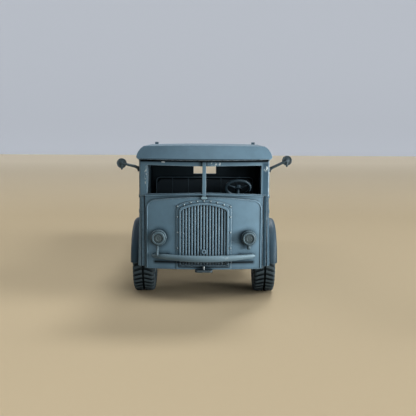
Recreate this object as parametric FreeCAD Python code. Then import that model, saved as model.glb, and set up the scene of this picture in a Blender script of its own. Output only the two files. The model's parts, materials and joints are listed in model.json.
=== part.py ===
import FreeCAD, Part
import math
import os

from FreeCAD import Vector

# A 1:72 scale model of a late 1930s forward-control cargo truck, in millimetres.
# The truck stands on Z = 0 and faces -Y. +X is the vehicle's own left side.

# Wheels
WHEEL_RADIUS = 7.0
FRONT_AXLE_Y = -32.5
WHEELBASE = 54.0
FRONT_TYRE_WIDTH = 4.9
REAR_TYRE_WIDTH = 4.2
TWIN_GAP = 0.5
FENDER_TO_TYRE = 0.15
REAR_OUTER_FACE_X = 16.4
WHEEL_FLATS = 16
TREAD_RADIUS = 6.6
BULGE_RADIUS = 5.5
RIM_RADIUS = 4.3
SHOULDER_STEP = 0.3
BEAD_STEP = 0.45
TREAD_GROOVE = 0.4
LUG_WIDTH = 1.15
LUG_LEAN = 0.35
RIM_WALL = 0.45
DISC_THICKNESS = 0.4
DISC_DISH = 0.7
REAR_DISH = 1.2
DISC_FLAT_RADIUS = 2.55
STUB_RADIUS = 0.8
STUB_CLEARANCE = 0.05
HUB_RADIUS = 1.35
HUB_CAP = 0.6
HUB_CHAMFER = 0.3
FRONT_HUB_SET = 0.3
REAR_HUB_SET = 0.5
HAND_HOLE_RADIUS = 0.4
HAND_HOLE_CIRCLE = 3.2
HAND_HOLE_FLATS = 4

# Frame, axles and springs
RAIL_X = 4.5
RAIL_WIDTH = 1.0
RAIL_HEIGHT = 2.2
RAIL_BOTTOM_Z = 9.8
RAIL_WEB = 0.35
FRAME_REAR_Y = 45.4
CROSS_MEMBERS = 6
CROSS_MEMBER_WIDTH = 1.0
CROSS_MEMBER_HEIGHT = 0.8
LEAF_THICKNESS = 0.25
LEAVES = 3
LEAF_WIDTH = 0.9
LEAF_STEP = 0.2
SHACKLE_LENGTH = 0.7
CLIP_LENGTH = 1.6
FRONT_SPRING_LENGTH = 14.0
REAR_SPRING_LENGTH = 18.0
BEAM_HEIGHT = 1.1
BEAM_WIDTH = 1.0
BEAM_FLUTE = 0.25
KNUCKLE_INSET = 3.85
KING_PIN_RADIUS = 0.75
KING_PIN_HEIGHT = 3.0
DRUM_RADIUS = 3.0
DRUM_WIDTH = 1.3
DRUM_CHAMFER = 0.3
DRUM_FLATS = 12
AXLE_TUBE_RADIUS = 1.1
DIFF_RADIUS = 2.6
DIFF_WIDTH = 3.4
DIFF_NOSE = 1.6
DIFF_NOSE_RADIUS = 1.0
PROPSHAFT_RADIUS = 0.5
SHAFT_FLATS = 8

# Cab
CAB_HALF = 14.4
CAB_FLARE = 0.4
CAB_WALL = 0.8
CAB_BACK_Y = -22.0
CAB_TOP_Z = 31.9
CAB_BOTTOM_Z = 8.15
CORNER_SETBACK = 0.35
CORNER_ROUND = 0.5
CORNER_GROOVE_INSET = 0.35
CORNER_GROOVE = 0.2
FLOOR_BOTTOM_Z = 15.4
FLOOR_THICKNESS = 0.8
FIREWALL_SETBACK = 3.15
DASH_DEPTH = 1.6
DASH_HEIGHT = 2.4
BELT_Z = 23.95
BELT_RISE = 0.4
BELT_HEIGHT = 0.35
BELT_STAND = 0.3
CORNER_STRIP = 1.3
NOSE_SEAM = 0.2
NOSE_BOTTOM_Z = 7.7
NOSE_MID_Y = -44.55
NOSE_BOW = 1.2
NOSE_WALL = 0.8
NOSE_SEAT_DEPTH = 3.2
FIELD_MARGIN = 0.5
FIELD_TOP_Z = 23.9
FIELD_DROP = 0.9
FIELD_CORNER = 1.6
FIELD_STAND = 0.25
DOOR_SETBACK = 2.7
DOOR_LENGTH = 12.1
DOOR_BOTTOM_Z = 18.8
DOOR_GAP = 0.1
DOOR_FRAME = 0.9
DOOR_CORNER = 0.7
WINDOW_SILL = 0.9
HANDLE_THICKNESS = 0.3
HANDLE_STAND = 0.35
HINGE_STAND = 0.4
HINGE_HEIGHT = 0.7
HINGE_WIDTH = 0.8

# Windscreen frame
SCREEN_POST = 1.8
SCREEN_SILL = 0.05
SCREEN_HEADER = 1.1
SCREEN_DIP = 0.2
SCREEN_RISE = 0.5
SCREEN_DEPTH = 0.9
CENTRE_POST_HALF = 0.4
KNOB_HALF = 0.65
KNOB_HEIGHT = 0.6
KNOB_STAND = 0.35
KNOB_DROP = 0.95
REAR_WINDOW_HALF = 2.82
REAR_WINDOW_TOP = 1.5
REAR_WINDOW_HEIGHT = 2.8

# Roof
ROOF_OVERHANG = 0.6
ROOF_HEIGHT = 3.25
ROOF_WALL = 0.8
ROOF_VISOR = 1.45
ROOF_BOW = 2.3
ROOF_BACK_OVERHANG = 0.4
ROOF_LEAN = 1.9
ROOF_LIP_ARCH = 0.23
ROOF_UNDERCUT = 0.6

# Grille
GRILLE_HALF = 5.05
GRILLE_RING = 0.42
GRILLE_FLANGE = 0.65
GRILLE_BOTTOM_Z = 8.8
GRILLE_HEIGHT = 13.4
GRILLE_ARCH = 1.25
GRILLE_SHOULDER_ROUND = 0.7
GRILLE_BARS = 15
GRILLE_PITCH = 0.657
GRILLE_BAR_WIDTH = 0.37
GRILLE_BAR_DEPTH = 0.7
GRILLE_RING_STAND = 0.4
GRILLE_FLANGE_STAND = 0.15
HANDLE_RING_Z = 11.75
HANDLE_RING_RADIUS = 0.58
HANDLE_HOLE_RADIUS = 0.22
RADIATOR_HALF = 6.4
RADIATOR_DEPTH = 1.8

# Lamps, bumper and mirrors
LAMP_INSET = 3.2
LAMP_Z = 14.9
LAMP_RADIUS = 1.72
LAMP_RIM_RADIUS = 1.42
LAMP_FACE_RADIUS = 1.0
LAMP_BACK_RADIUS = 1.1
LAMP_DEPTH = 2.2
LAMP_FACE_SINK = 0.15
LAMP_FLATS = 16
STALK = 0.42
STALK_LUG = 0.9
STALK_SINK = 0.35
BUMPER_INSET = 1.7
BUMPER_Z = 9.8
BUMPER_HEIGHT = 1.55
BUMPER_DEPTH = 0.6
BUMPER_MID_Y = -47.4
BUMPER_BOW = 2.8
BUMPER_CHAMFER = 0.3
BUMPER_TAPER = 0.45
BUMPER_LEVEL_HALF = 3.0
BRACKET_INSET = 3.4
BUMPER_BRACKET_HALF = 0.5
MIRROR_RADIUS = 1.15
MIRROR_THICKNESS = 0.5
MIRROR_REACH = 3.95
MIRROR_SETBACK = 1.0
MIRROR_LEFT_Z = 31.85
MIRROR_RIGHT_Z = 31.1
MIRROR_ARM_RADIUS = 0.33
MIRROR_ROOT_Z = 30.1
MIRROR_PLATE = 1.05
MIRROR_FLATS = 12

# Front fenders and steps
FENDER_REACH = 2.35
FENDER_RADIUS = 9.2
FENDER_CENTRE_Z = 8.4
FENDER_SETBACK = 0.3
FENDER_WALL = 0.5
FENDER_SKIRT = 0.4
FENDER_SKIRT_DEPTH = 0.4
FENDER_ROUND = 0.5
FENDER_FLATS = 28
STEP_Z = 7.0
STEP_THICKNESS = 0.5
STEP_LENGTH = 5.0
STEP_BRACKET = 1.0

# Inside the cab
SEAT_SIDE_GAP = 1.4
SEAT_TOP = 4.4
SEAT_THICKNESS = 2.0
SEAT_LENGTH = 9.2
SEAT_BACK_HEIGHT = 6.2
SEAT_BACK_THICKNESS = 1.5
SEAT_ROUND = 0.6
STEERING_X = 7.8
STEERING_SETBACK = 4.0
STEERING_Z = 25.2
STEERING_RADIUS = 2.8
STEERING_RIM = 0.33
STEERING_FLATS = 16
STEERING_TILT = 42.0
STEERING_HUB_RADIUS = 0.8
STEERING_SPOKES = 3
COVER_HALF = 3.4
COVER_HEIGHT = 4.2

# Engine, below the cab floor
ENGINE_HALF = 3.2
ENGINE_SETBACK = 1.6
ENGINE_LENGTH = 14.6
ENGINE_BOTTOM_Z = 8.4
GEARBOX_RADIUS = 1.8
GEARBOX_LENGTH = 8.0
GEARBOX_TAPER = 0.7
GEARBOX_Z = 9.6

# Cargo bed
BED_GAP = 1.1
BED_REAR_Y = 46.9
BED_HALF = 15.7
BED_FLOOR_BOTTOM_Z = 15.2
BED_FLOOR_THICKNESS = 0.8
BED_BOARD = 0.7
BED_SIDE_HEIGHT = 5.8
SIDE_PLANKS = 3
HEADBOARD_PLANKS = 4
PLANK_GROOVE = 0.15
FLOOR_PLANKS = 9
BEARER_HEIGHT = 1.7
BEARER_WIDTH = 1.2
FRONT_BEARERS = 4
HEADBOARD_HEIGHT = 9.7
RACK_POST_INSET = 3.4
RACK_POST = 0.85
RACK_HEIGHT = 20.3
RACK_RAIL_DROP = 2.3
RACK_RAIL = 0.7
SIDE_POSTS = 4
TAIL_POSTS = 3
SIDE_POST_WIDTH = 0.8
SIDE_POST_STAND = 0.35

# Under the bed
TANK_LENGTH = 9.0
TANK_FRONT_Y = -13.5
TANK_INNER_X = 7.2
TANK_WIDTH = 6.4
TANK_HEIGHT = 5.0
TANK_CHAMFER = 1.0
TANK_CAP_RADIUS = 0.8
TANK_CAP_HEIGHT = 0.5
BOX_LENGTH = 8.0
BOX_HEIGHT = 4.2
BOX_WIDTH = 6.0
LID_DROP = 1.2
HANGER = 0.8
HANGER_SHARE = 0.2
SPARE_Y = 38.4
SPARE_GAP = 0.1
TOW_EYE_RADIUS = 0.95
TOW_EYE_HOLE = 0.45
TOW_EYE_THICKNESS = 0.6
TOW_EYE_LIP = 0.17
TOW_PLATE = 0.4
TOW_PLATE_HALF = 1.3
TOW_PIN_RADIUS = 0.25
TOW_JAW_HALF = 1.95
TOW_JAW = 0.45

REAR_AXLE_Y = FRONT_AXLE_Y + WHEELBASE
AXLE_Z = WHEEL_RADIUS
REAR_TWIN_CENTRE_X = REAR_OUTER_FACE_X - REAR_TYRE_WIDTH - TWIN_GAP / 2
REAR_INNER_FACE_X = REAR_TWIN_CENTRE_X - REAR_TYRE_WIDTH - TWIN_GAP / 2
RAIL_TOP_Z = RAIL_BOTTOM_Z + RAIL_HEIGHT
RAIL_INNER_X = RAIL_X - RAIL_WIDTH / 2
RAIL_OUTER_X = RAIL_X + RAIL_WIDTH / 2
CAB_INNER = CAB_HALF - CAB_WALL
FLOOR_TOP_Z = FLOOR_BOTTOM_Z + FLOOR_THICKNESS
NOSE_HALF = CAB_HALF - CORNER_STRIP
FIELD_HALF = NOSE_HALF - FIELD_MARGIN
SCREEN_HALF = CAB_HALF - SCREEN_POST
FENDER_OUTER_X = CAB_HALF + FENDER_REACH
FRONT_TRACK_HALF = FENDER_OUTER_X - FENDER_TO_TYRE - FRONT_TYRE_WIDTH / 2
KNUCKLE_X = FRONT_TRACK_HALF - KNUCKLE_INSET
CORNER_GROOVE_X = CAB_HALF - CORNER_GROOVE_INSET
BUMPER_HALF = NOSE_HALF - BUMPER_INSET
BUMPER_BRACKET_X = BUMPER_HALF - BRACKET_INSET
LAMP_X = NOSE_HALF - LAMP_INSET
NOSE_EDGE_Y = NOSE_MID_Y + NOSE_BOW
NOSE_TOP_Z = BELT_Z + BELT_RISE
CORNER_FRONT_Y = NOSE_EDGE_Y + CORNER_SETBACK
FIREWALL_Y = NOSE_EDGE_Y + FIREWALL_SETBACK
DOOR_FRONT_Y = CORNER_FRONT_Y + DOOR_SETBACK
MIRROR_Y = CORNER_FRONT_Y + MIRROR_SETBACK
STEERING_Y = FIREWALL_Y + STEERING_SETBACK
ENGINE_FRONT_Y = FIREWALL_Y + ENGINE_SETBACK
ENGINE_REAR_Y = ENGINE_FRONT_Y + ENGINE_LENGTH
RACK_POST_X = BED_HALF - RACK_POST_INSET
BELT_TOP_Z = BELT_Z + BELT_HEIGHT
DASH_REAR_Y = FIREWALL_Y + CAB_WALL + DASH_DEPTH
RADIATOR_BACK_Y = min(FIREWALL_Y, ENGINE_FRONT_Y - DOOR_GAP)
RADIATOR_FRONT_Y = RADIATOR_BACK_Y - RADIATOR_DEPTH
FRAME_FRONT_Y = RADIATOR_BACK_Y + DOOR_GAP
GRILLE_TOP_Z = GRILLE_BOTTOM_Z + GRILLE_HEIGHT
GRILLE_SHOULDER_Z = GRILLE_TOP_Z - GRILLE_ARCH
DOOR_REAR_Y = DOOR_FRONT_Y + DOOR_LENGTH
DOOR_TOP_Z = CAB_TOP_Z - CAB_WALL
WINDOW_SILL_Z = BELT_Z + WINDOW_SILL
ROOF_HALF = CAB_HALF + ROOF_OVERHANG
ROOF_TOP_Z = CAB_TOP_Z + ROOF_HEIGHT
FENDER_CENTRE_Y = FRONT_AXLE_Y + FENDER_SETBACK
CAB_REAR_INNER_Y = CAB_BACK_Y - CAB_WALL
SEAT_HALF = CAB_INNER - SEAT_SIDE_GAP
SEAT_TOP_Z = FLOOR_TOP_Z + SEAT_TOP
SEAT_FRONT_Y = CAB_REAR_INNER_Y - SEAT_LENGTH
BED_FRONT_Y = CAB_BACK_Y + ROOF_BACK_OVERHANG + BED_GAP + BED_BOARD
BED_FLOOR_TOP_Z = BED_FLOOR_BOTTOM_Z + BED_FLOOR_THICKNESS
BED_SIDE_TOP_Z = BED_FLOOR_TOP_Z + BED_SIDE_HEIGHT
ALL = 200.0
CLOSE = 0.001
ALONG_X = Vector(1, 0, 0)
ALONG_Y = Vector(0, 1, 0)
ALONG_Z = Vector(0, 0, 1)
ORIGIN = Vector(0, 0, 0)


def box(x0, x1, y0, y1, z0, z1):
    return Part.makeBox(x1 - x0, y1 - y0, z1 - z0, Vector(x0, y0, z0))


def cylinder(radius, start, end):
    run = end - start
    return Part.makeCylinder(radius, run.Length, start, run)


def mirrored(shape):
    return shape.mirror(ORIGIN, ALONG_X)


def placed(shape, x, y, z):
    moved = shape.copy()
    moved.translate(Vector(x, y, z))
    return moved


def polygon(points):
    return Part.Face(Part.makePolygon(points + points[:1]))


def front_view(points, y0, y1):
    # A flat outline given as (x, z) corners, run along Y.
    corners = [Vector(x, y0, z) for x, z in points]
    return polygon(corners).extrude(Vector(0, y1 - y0, 0))


def arc_edge(start, middle, end):
    return Part.Arc(start, middle, end).toShape()


def line_edge(start, end):
    return Part.LineSegment(start, end).toShape()


def runs_along(edge, axis):
    if len(edge.Vertexes) < 2:
        return False
    run = edge.Vertexes[-1].Point - edge.Vertexes[0].Point
    return run.Length > 0 and abs(run.normalize().dot(axis)) > 1 - CLOSE


def rounded(shape, radius, chosen):
    return shape.makeFillet(radius, [edge for edge in shape.Edges if chosen(edge)])


def bevelled(shape, size, chosen):
    return shape.makeChamfer(size, [edge for edge in shape.Edges if chosen(edge)])


def flat_ring(x, radius, sides):
    # Corners round the X axis, with one flat facing straight down.
    points = []
    for index in range(sides):
        angle = 2 * math.pi * (index + 0.5) / sides
        points.append(Vector(x, radius * math.sin(angle), -radius * math.cos(angle)))
    return points


def bands(loops):
    # Flat faces strung between one ring of corners and the next.
    faces = []
    for near, far in zip(loops, loops[1:]):
        for index in range(len(near)):
            after = (index + 1) % len(near)
            faces.append(polygon([near[index], near[after], far[after], far[index]]))
    return faces


def turned(rings, sides):
    # A turned form along X, from (x, radius) rings, with a set number of flats.
    loops = [flat_ring(x, radius, sides) for x, radius in rings]
    faces = bands(loops) + [polygon(loops[0]), polygon(loops[-1])]
    return Part.Solid(Part.Shell(faces))


def turned_ring(rings, sides):
    # The same round a closed section, so that the middle stays open.
    loops = [flat_ring(x, radius, sides) for x, radius in rings]
    return Part.Solid(Part.Shell(bands(loops + loops[:1])))


def facing(shape, direction):
    # Turns a form made along X to lie along another direction.
    turned_shape = shape.copy()
    turn = FreeCAD.Rotation(ALONG_X, direction)
    turned_shape.rotate(ORIGIN, turn.Axis, math.degrees(turn.Angle))
    return turned_shape


def bowed_wall(half, mid_y, bow, thickness, z0, z1):
    # An upright sheet that bulges forward between its two ends.
    end_y = mid_y + bow
    front = arc_edge(Vector(-half, end_y, z0), Vector(0, mid_y, z0), Vector(half, end_y, z0))
    side = line_edge(Vector(half, end_y, z0), Vector(half, end_y + thickness, z0))
    back = arc_edge(
        Vector(half, end_y + thickness, z0),
        Vector(0, mid_y + thickness, z0),
        Vector(-half, end_y + thickness, z0),
    )
    other = line_edge(Vector(-half, end_y + thickness, z0), Vector(-half, end_y, z0))
    return Part.Face(Part.Wire([front, side, back, other])).extrude(Vector(0, 0, z1 - z0))


def bow_y(x, half, mid_y, bow):
    # Where the bowed sheet's front face lies at one place across the truck.
    radius = (half * half + bow * bow) / (2 * bow)
    return mid_y + radius - math.sqrt(radius * radius - x * x)


def arched_outline(half, bottom, side_top, middle_top, y0, y1):
    # A front view outline with an arched head, run along Y.
    base = line_edge(Vector(-half, y0, bottom), Vector(half, y0, bottom))
    right = line_edge(Vector(half, y0, bottom), Vector(half, y0, side_top))
    head = arc_edge(Vector(half, y0, side_top), Vector(0, y0, middle_top), Vector(-half, y0, side_top))
    left = line_edge(Vector(-half, y0, side_top), Vector(-half, y0, bottom))
    return Part.Face(Part.Wire([base, right, head, left])).extrude(Vector(0, y1 - y0, 0))


def round_shoulders(solid, radius, side_top):
    # Rounds the two edges along Y where the arched head meets the sides.
    low = side_top - radius
    return rounded(solid, radius, lambda edge: runs_along(edge, ALONG_Y) and edge.CenterOfMass.z > low)


def nose_y(x):
    return bow_y(x, NOSE_HALF, NOSE_MID_Y, NOSE_BOW)


def behind_nose():
    # The nose's outer face and what lies behind it, to seat what stands on it.
    face_y = NOSE_MID_Y - FIELD_STAND
    depth = NOSE_SEAT_DEPTH
    return bowed_wall(NOSE_HALF, face_y, NOSE_BOW, depth, NOSE_BOTTOM_Z, NOSE_TOP_Z).common(belt_arch(BELT_Z))


def belt_arch(z):
    # Everything ahead of the cab below the belt line, which rises a little towards the middle.
    return arched_outline(CAB_HALF + CAB_FLARE, NOSE_BOTTOM_Z, z, z + BELT_RISE, -ALL, 0)


def nose_panel():
    wall = bowed_wall(NOSE_HALF, NOSE_MID_Y, NOSE_BOW, NOSE_WALL, NOSE_BOTTOM_Z, NOSE_TOP_Z)
    wall = wall.common(belt_arch(BELT_Z))
    face_y = NOSE_MID_Y - FIELD_STAND
    field = bowed_wall(NOSE_HALF, face_y, NOSE_BOW, NOSE_WALL, NOSE_BOTTOM_Z, NOSE_TOP_Z)
    end_z = FIELD_TOP_Z - FIELD_DROP
    outline = arched_outline(FIELD_HALF, NOSE_BOTTOM_Z, end_z, FIELD_TOP_Z, -ALL, 0)
    outline = round_shoulders(outline, FIELD_CORNER, end_z)
    return wall.fuse(field.common(outline)).cut(grille_outline(0.0)).removeSplitter()


def grille_outline(margin):
    # The grille's opening in front view, grown by a margin.
    outline = arched_outline(
        GRILLE_HALF + margin,
        GRILLE_BOTTOM_Z - margin,
        GRILLE_SHOULDER_Z + margin,
        GRILLE_TOP_Z + margin,
        -ALL,
        0,
    )
    return round_shoulders(outline, GRILLE_SHOULDER_ROUND + margin, GRILLE_SHOULDER_Z)


def grille_layer(margin, stand, depth):
    # A plate in front of the nose with the grille's outline plus a margin.
    face_y = NOSE_MID_Y - FIELD_STAND - stand
    sheet = bowed_wall(NOSE_HALF, face_y, NOSE_BOW, depth, NOSE_BOTTOM_Z, BELT_Z)
    return sheet.common(grille_outline(margin))


def grille():
    flange = grille_layer(GRILLE_RING + GRILLE_FLANGE, GRILLE_FLANGE_STAND, GRILLE_FLANGE_STAND)
    ring = grille_layer(GRILLE_RING, GRILLE_RING_STAND, GRILLE_RING_STAND)
    opening = grille_outline(0.0)
    frame = flange.fuse(ring).cut(opening)
    half = GRILLE_BAR_WIDTH / 2
    bars = []
    for index in range(GRILLE_BARS):
        x = (index - (GRILLE_BARS - 1) / 2) * GRILLE_PITCH
        bar_y = nose_y(x) - FIELD_STAND - GRILLE_FLANGE_STAND
        bar = box(x - half, x + half, bar_y, bar_y + GRILLE_BAR_DEPTH, GRILLE_BOTTOM_Z, GRILLE_TOP_Z)
        bars.append(bar.common(opening))
    eye = turned([(0, HANDLE_RING_RADIUS), (GRILLE_BAR_DEPTH, HANDLE_RING_RADIUS)], SHAFT_FLATS)
    hole = turned([(-1, HANDLE_HOLE_RADIUS), (ALL, HANDLE_HOLE_RADIUS)], SHAFT_FLATS)
    front_y = NOSE_MID_Y - FIELD_STAND - GRILLE_RING_STAND
    eye = placed(facing(eye, ALONG_Y), 0, front_y, HANDLE_RING_Z)
    hole = placed(facing(hole, ALONG_Y), 0, front_y, HANDLE_RING_Z)
    return frame.fuse(bars + [eye]).cut(hole).removeSplitter()


def radiator():
    return box(-RADIATOR_HALF, RADIATOR_HALF, RADIATOR_FRONT_Y, RADIATOR_BACK_Y, CAB_BOTTOM_Z, GRILLE_TOP_Z)


def side_slab(y0, y1):
    # The cab side in front view: upright above the belt and flared a little below it.
    points = [
        (CAB_INNER, CAB_BOTTOM_Z),
        (CAB_HALF + CAB_FLARE, CAB_BOTTOM_Z),
        (CAB_HALF, BELT_Z),
        (CAB_HALF, CAB_TOP_Z),
        (CAB_INNER, CAB_TOP_Z),
    ]
    return front_view(points, y0, y1)


def wheel_arch(radius, x0, x1):
    # The space of the front wheel arch, open downwards.
    round_part = turned([(x0, radius), (x1, radius)], FENDER_FLATS)
    round_part = placed(round_part, 0, FENDER_CENTRE_Y, FENDER_CENTRE_Z)
    below = box(x0, x1, FENDER_CENTRE_Y - radius, FENDER_CENTRE_Y + radius, 0, FENDER_CENTRE_Z)
    return round_part.fuse(below)


def door_outline(gap):
    outline = box(
        0,
        ALL,
        DOOR_FRONT_Y - gap,
        DOOR_REAR_Y + gap,
        DOOR_BOTTOM_Z - gap,
        DOOR_TOP_Z + gap,
    )
    return bevelled(outline, DOOR_CORNER + gap, lambda edge: runs_along(edge, ALONG_X))


def cab_side():
    # Side panel with the front corner strip, the door opening and the wheel arch.
    slab = side_slab(CORNER_FRONT_Y, CAB_BACK_Y)
    depth_y = CORNER_FRONT_Y + 2 * CAB_WALL
    corner = box(NOSE_HALF + NOSE_SEAM, CAB_HALF, CORNER_FRONT_Y, depth_y, CAB_BOTTOM_Z, NOSE_TOP_Z)
    whole = slab.fuse(corner.common(belt_arch(BELT_Z))).removeSplitter()

    def front_corner(edge):
        centre = edge.CenterOfMass
        at_front = centre.y < CORNER_FRONT_Y + CLOSE
        return at_front and centre.x > CAB_HALF - CLOSE and edge.BoundBox.ZLength > CORNER_ROUND

    whole = bevelled(whole, CORNER_ROUND, front_corner)
    groove_x = CORNER_GROOVE_X - CORNER_GROOVE / 2
    groove = box(groove_x, groove_x + CORNER_GROOVE, -ALL, CORNER_FRONT_Y + CORNER_GROOVE, 0, BELT_Z)
    arch = wheel_arch(FENDER_RADIUS - FENDER_WALL, 0, ALL)
    return whole.cut(groove).cut(door_outline(DOOR_GAP)).cut(arch)


def door():
    panel = side_slab(DOOR_FRONT_Y, DOOR_REAR_Y).common(door_outline(0.0))
    front_y = DOOR_FRONT_Y + DOOR_FRAME
    window = box(0, ALL, front_y, DOOR_REAR_Y - DOOR_FRAME, WINDOW_SILL_Z, DOOR_TOP_Z - DOOR_FRAME)
    window = bevelled(window, DOOR_CORNER, lambda edge: runs_along(edge, ALONG_X))
    handle_z = BELT_Z - DOOR_FRAME
    handle_y = DOOR_REAR_Y - DOOR_FRAME
    outer_x = CAB_HALF + HANDLE_STAND + HANDLE_THICKNESS
    handle_top = handle_z + HANDLE_THICKNESS
    root_y = handle_y - HANDLE_THICKNESS
    parts = [
        box(CAB_HALF + HANDLE_STAND, outer_x, handle_y - 2 * DOOR_FRAME, handle_y, handle_z, handle_top),
        box(CAB_HALF - HANDLE_THICKNESS, outer_x, root_y, handle_y, handle_z, handle_top),
    ]
    for z in (BELT_Z - HINGE_HEIGHT / 2, DOOR_BOTTOM_Z + DOOR_CORNER + HINGE_HEIGHT):
        barrel = box(
            CAB_HALF - HANDLE_THICKNESS,
            CAB_HALF + HINGE_STAND,
            DOOR_FRONT_Y,
            DOOR_FRONT_Y + HINGE_WIDTH,
            z - HINGE_HEIGHT / 2,
            z + HINGE_HEIGHT / 2,
        )
        parts.append(barrel)
    return panel.cut(window).fuse(parts).removeSplitter()


def cab_back():
    wall = box(-CAB_INNER, CAB_INNER, CAB_REAR_INNER_Y, CAB_BACK_Y, FLOOR_BOTTOM_Z, CAB_TOP_Z)
    top = CAB_TOP_Z - REAR_WINDOW_TOP
    window = box(-REAR_WINDOW_HALF, REAR_WINDOW_HALF, -ALL, ALL, top - REAR_WINDOW_HEIGHT, top)
    return wall.cut(window)


def cab_floor():
    floor = box(-CAB_INNER, CAB_INNER, FIREWALL_Y, CAB_REAR_INNER_Y, FLOOR_BOTTOM_Z, FLOOR_TOP_Z)
    top = BELT_Z - CAB_WALL
    firewall = box(-CAB_INNER, CAB_INNER, FIREWALL_Y, FIREWALL_Y + CAB_WALL, FLOOR_BOTTOM_Z, top)
    return floor.fuse(firewall).removeSplitter()


def dashboard():
    # The cowl behind the nose with the instrument panel hanging from its rear edge.
    cowl = box(-NOSE_HALF, NOSE_HALF, NOSE_MID_Y, DASH_REAR_Y, BELT_Z - CAB_WALL, BELT_Z)
    ahead = 2 * NOSE_BOW
    nose = bowed_wall(NOSE_HALF, NOSE_MID_Y - ahead, NOSE_BOW, ahead + NOSE_WALL, 0, ALL)
    panel_y = FIREWALL_Y + CAB_WALL
    panel = box(-NOSE_HALF, NOSE_HALF, panel_y, DASH_REAR_Y, BELT_Z - DASH_HEIGHT, BELT_Z)
    whole = cowl.cut(nose).fuse(panel).removeSplitter()

    def rear_top(edge):
        centre = edge.CenterOfMass
        return runs_along(edge, ALONG_X) and centre.y > DASH_REAR_Y - CLOSE and centre.z > BELT_Z - CLOSE

    return bevelled(whole, CAB_WALL / 2, rear_top)


def windscreen_frame():
    # Belt moulding, sill, header and posts, with one opening each side of the centre post.
    bow = CORNER_FRONT_Y - NOSE_MID_Y
    front_y = NOSE_MID_Y - BELT_STAND
    depth = SCREEN_DEPTH / 2 + BELT_STAND
    belt = bowed_wall(CAB_HALF, front_y, bow + BELT_STAND, depth, BELT_Z, BELT_TOP_Z + BELT_RISE)
    belt = belt.common(belt_arch(BELT_TOP_Z))
    sheet = bowed_wall(CAB_HALF, NOSE_MID_Y, bow, SCREEN_DEPTH, BELT_Z, CAB_TOP_Z)
    middle_sill = BELT_TOP_Z + SCREEN_SILL + SCREEN_RISE
    end_top = CAB_TOP_Z - SCREEN_HEADER
    opening = front_view(
        [
            (CENTRE_POST_HALF, middle_sill),
            (SCREEN_HALF, BELT_TOP_Z + SCREEN_SILL),
            (SCREEN_HALF, end_top),
            (CENTRE_POST_HALF, end_top - SCREEN_DIP),
        ],
        -ALL,
        0,
    )
    post_back = CORNER_FRONT_Y + 2 * CAB_WALL
    post = box(SCREEN_HALF, CAB_HALF, CORNER_FRONT_Y, post_back, BELT_Z, CAB_TOP_Z)
    side = box(CAB_INNER, ALL, CORNER_FRONT_Y, ALL, 0, ALL)
    knob_z = BELT_Z + BELT_RISE - KNOB_DROP
    post_y = front_y - BELT_STAND / 2
    centre = box(-CENTRE_POST_HALF, CENTRE_POST_HALF, post_y, NOSE_MID_Y + SCREEN_DEPTH, knob_z, CAB_TOP_Z)
    knob = box(-KNOB_HALF, KNOB_HALF, front_y - KNOB_STAND, NOSE_MID_Y, knob_z, knob_z + KNOB_HEIGHT)
    knob = bevelled(knob, KNOB_HEIGHT / 3, lambda edge: runs_along(edge, ALONG_Y))
    frame = sheet.cut(opening).cut(mirrored(opening)).fuse([belt, post, mirrored(post)])
    frame = frame.cut(side).cut(mirrored(side)).cut(belt_arch(BELT_Z))
    return frame.fuse(centre.fuse(knob).cut(behind_nose())).removeSplitter()


def roof_section():
    # The roof in front view: undercut lip, rounded sides and a slightly crowned top.
    side_z = CAB_TOP_Z + ROOF_UNDERCUT
    shoulder_x = ROOF_HALF - ROOF_HEIGHT / 2
    shoulder_z = ROOF_TOP_Z - ROOF_UNDERCUT / 3
    bulge_x = (ROOF_HALF + shoulder_x) / 2 + ROOF_UNDERCUT / 2
    bulge_z = (side_z + shoulder_z) / 2 + ROOF_UNDERCUT / 3
    right = [Vector(ROOF_HALF - ROOF_UNDERCUT, 0, CAB_TOP_Z), Vector(ROOF_HALF, 0, side_z)]
    shoulder = Vector(shoulder_x, 0, shoulder_z)
    other_shoulder = Vector(-shoulder_x, 0, shoulder_z)
    other_side = Vector(-ROOF_HALF, 0, side_z)
    other_foot = Vector(-right[0].x, 0, CAB_TOP_Z)
    edges = [
        line_edge(other_foot, right[0]),
        line_edge(right[0], right[1]),
        arc_edge(right[1], Vector(bulge_x, 0, bulge_z), shoulder),
        arc_edge(shoulder, Vector(0, 0, ROOF_TOP_Z), other_shoulder),
        arc_edge(other_shoulder, Vector(-bulge_x, 0, bulge_z), other_side),
        line_edge(other_side, other_foot),
    ]
    section = Part.Face(Part.Wire(edges))
    section.translate(Vector(0, -ALL / 2, 0))
    return section.extrude(Vector(0, ALL, 0))


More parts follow.
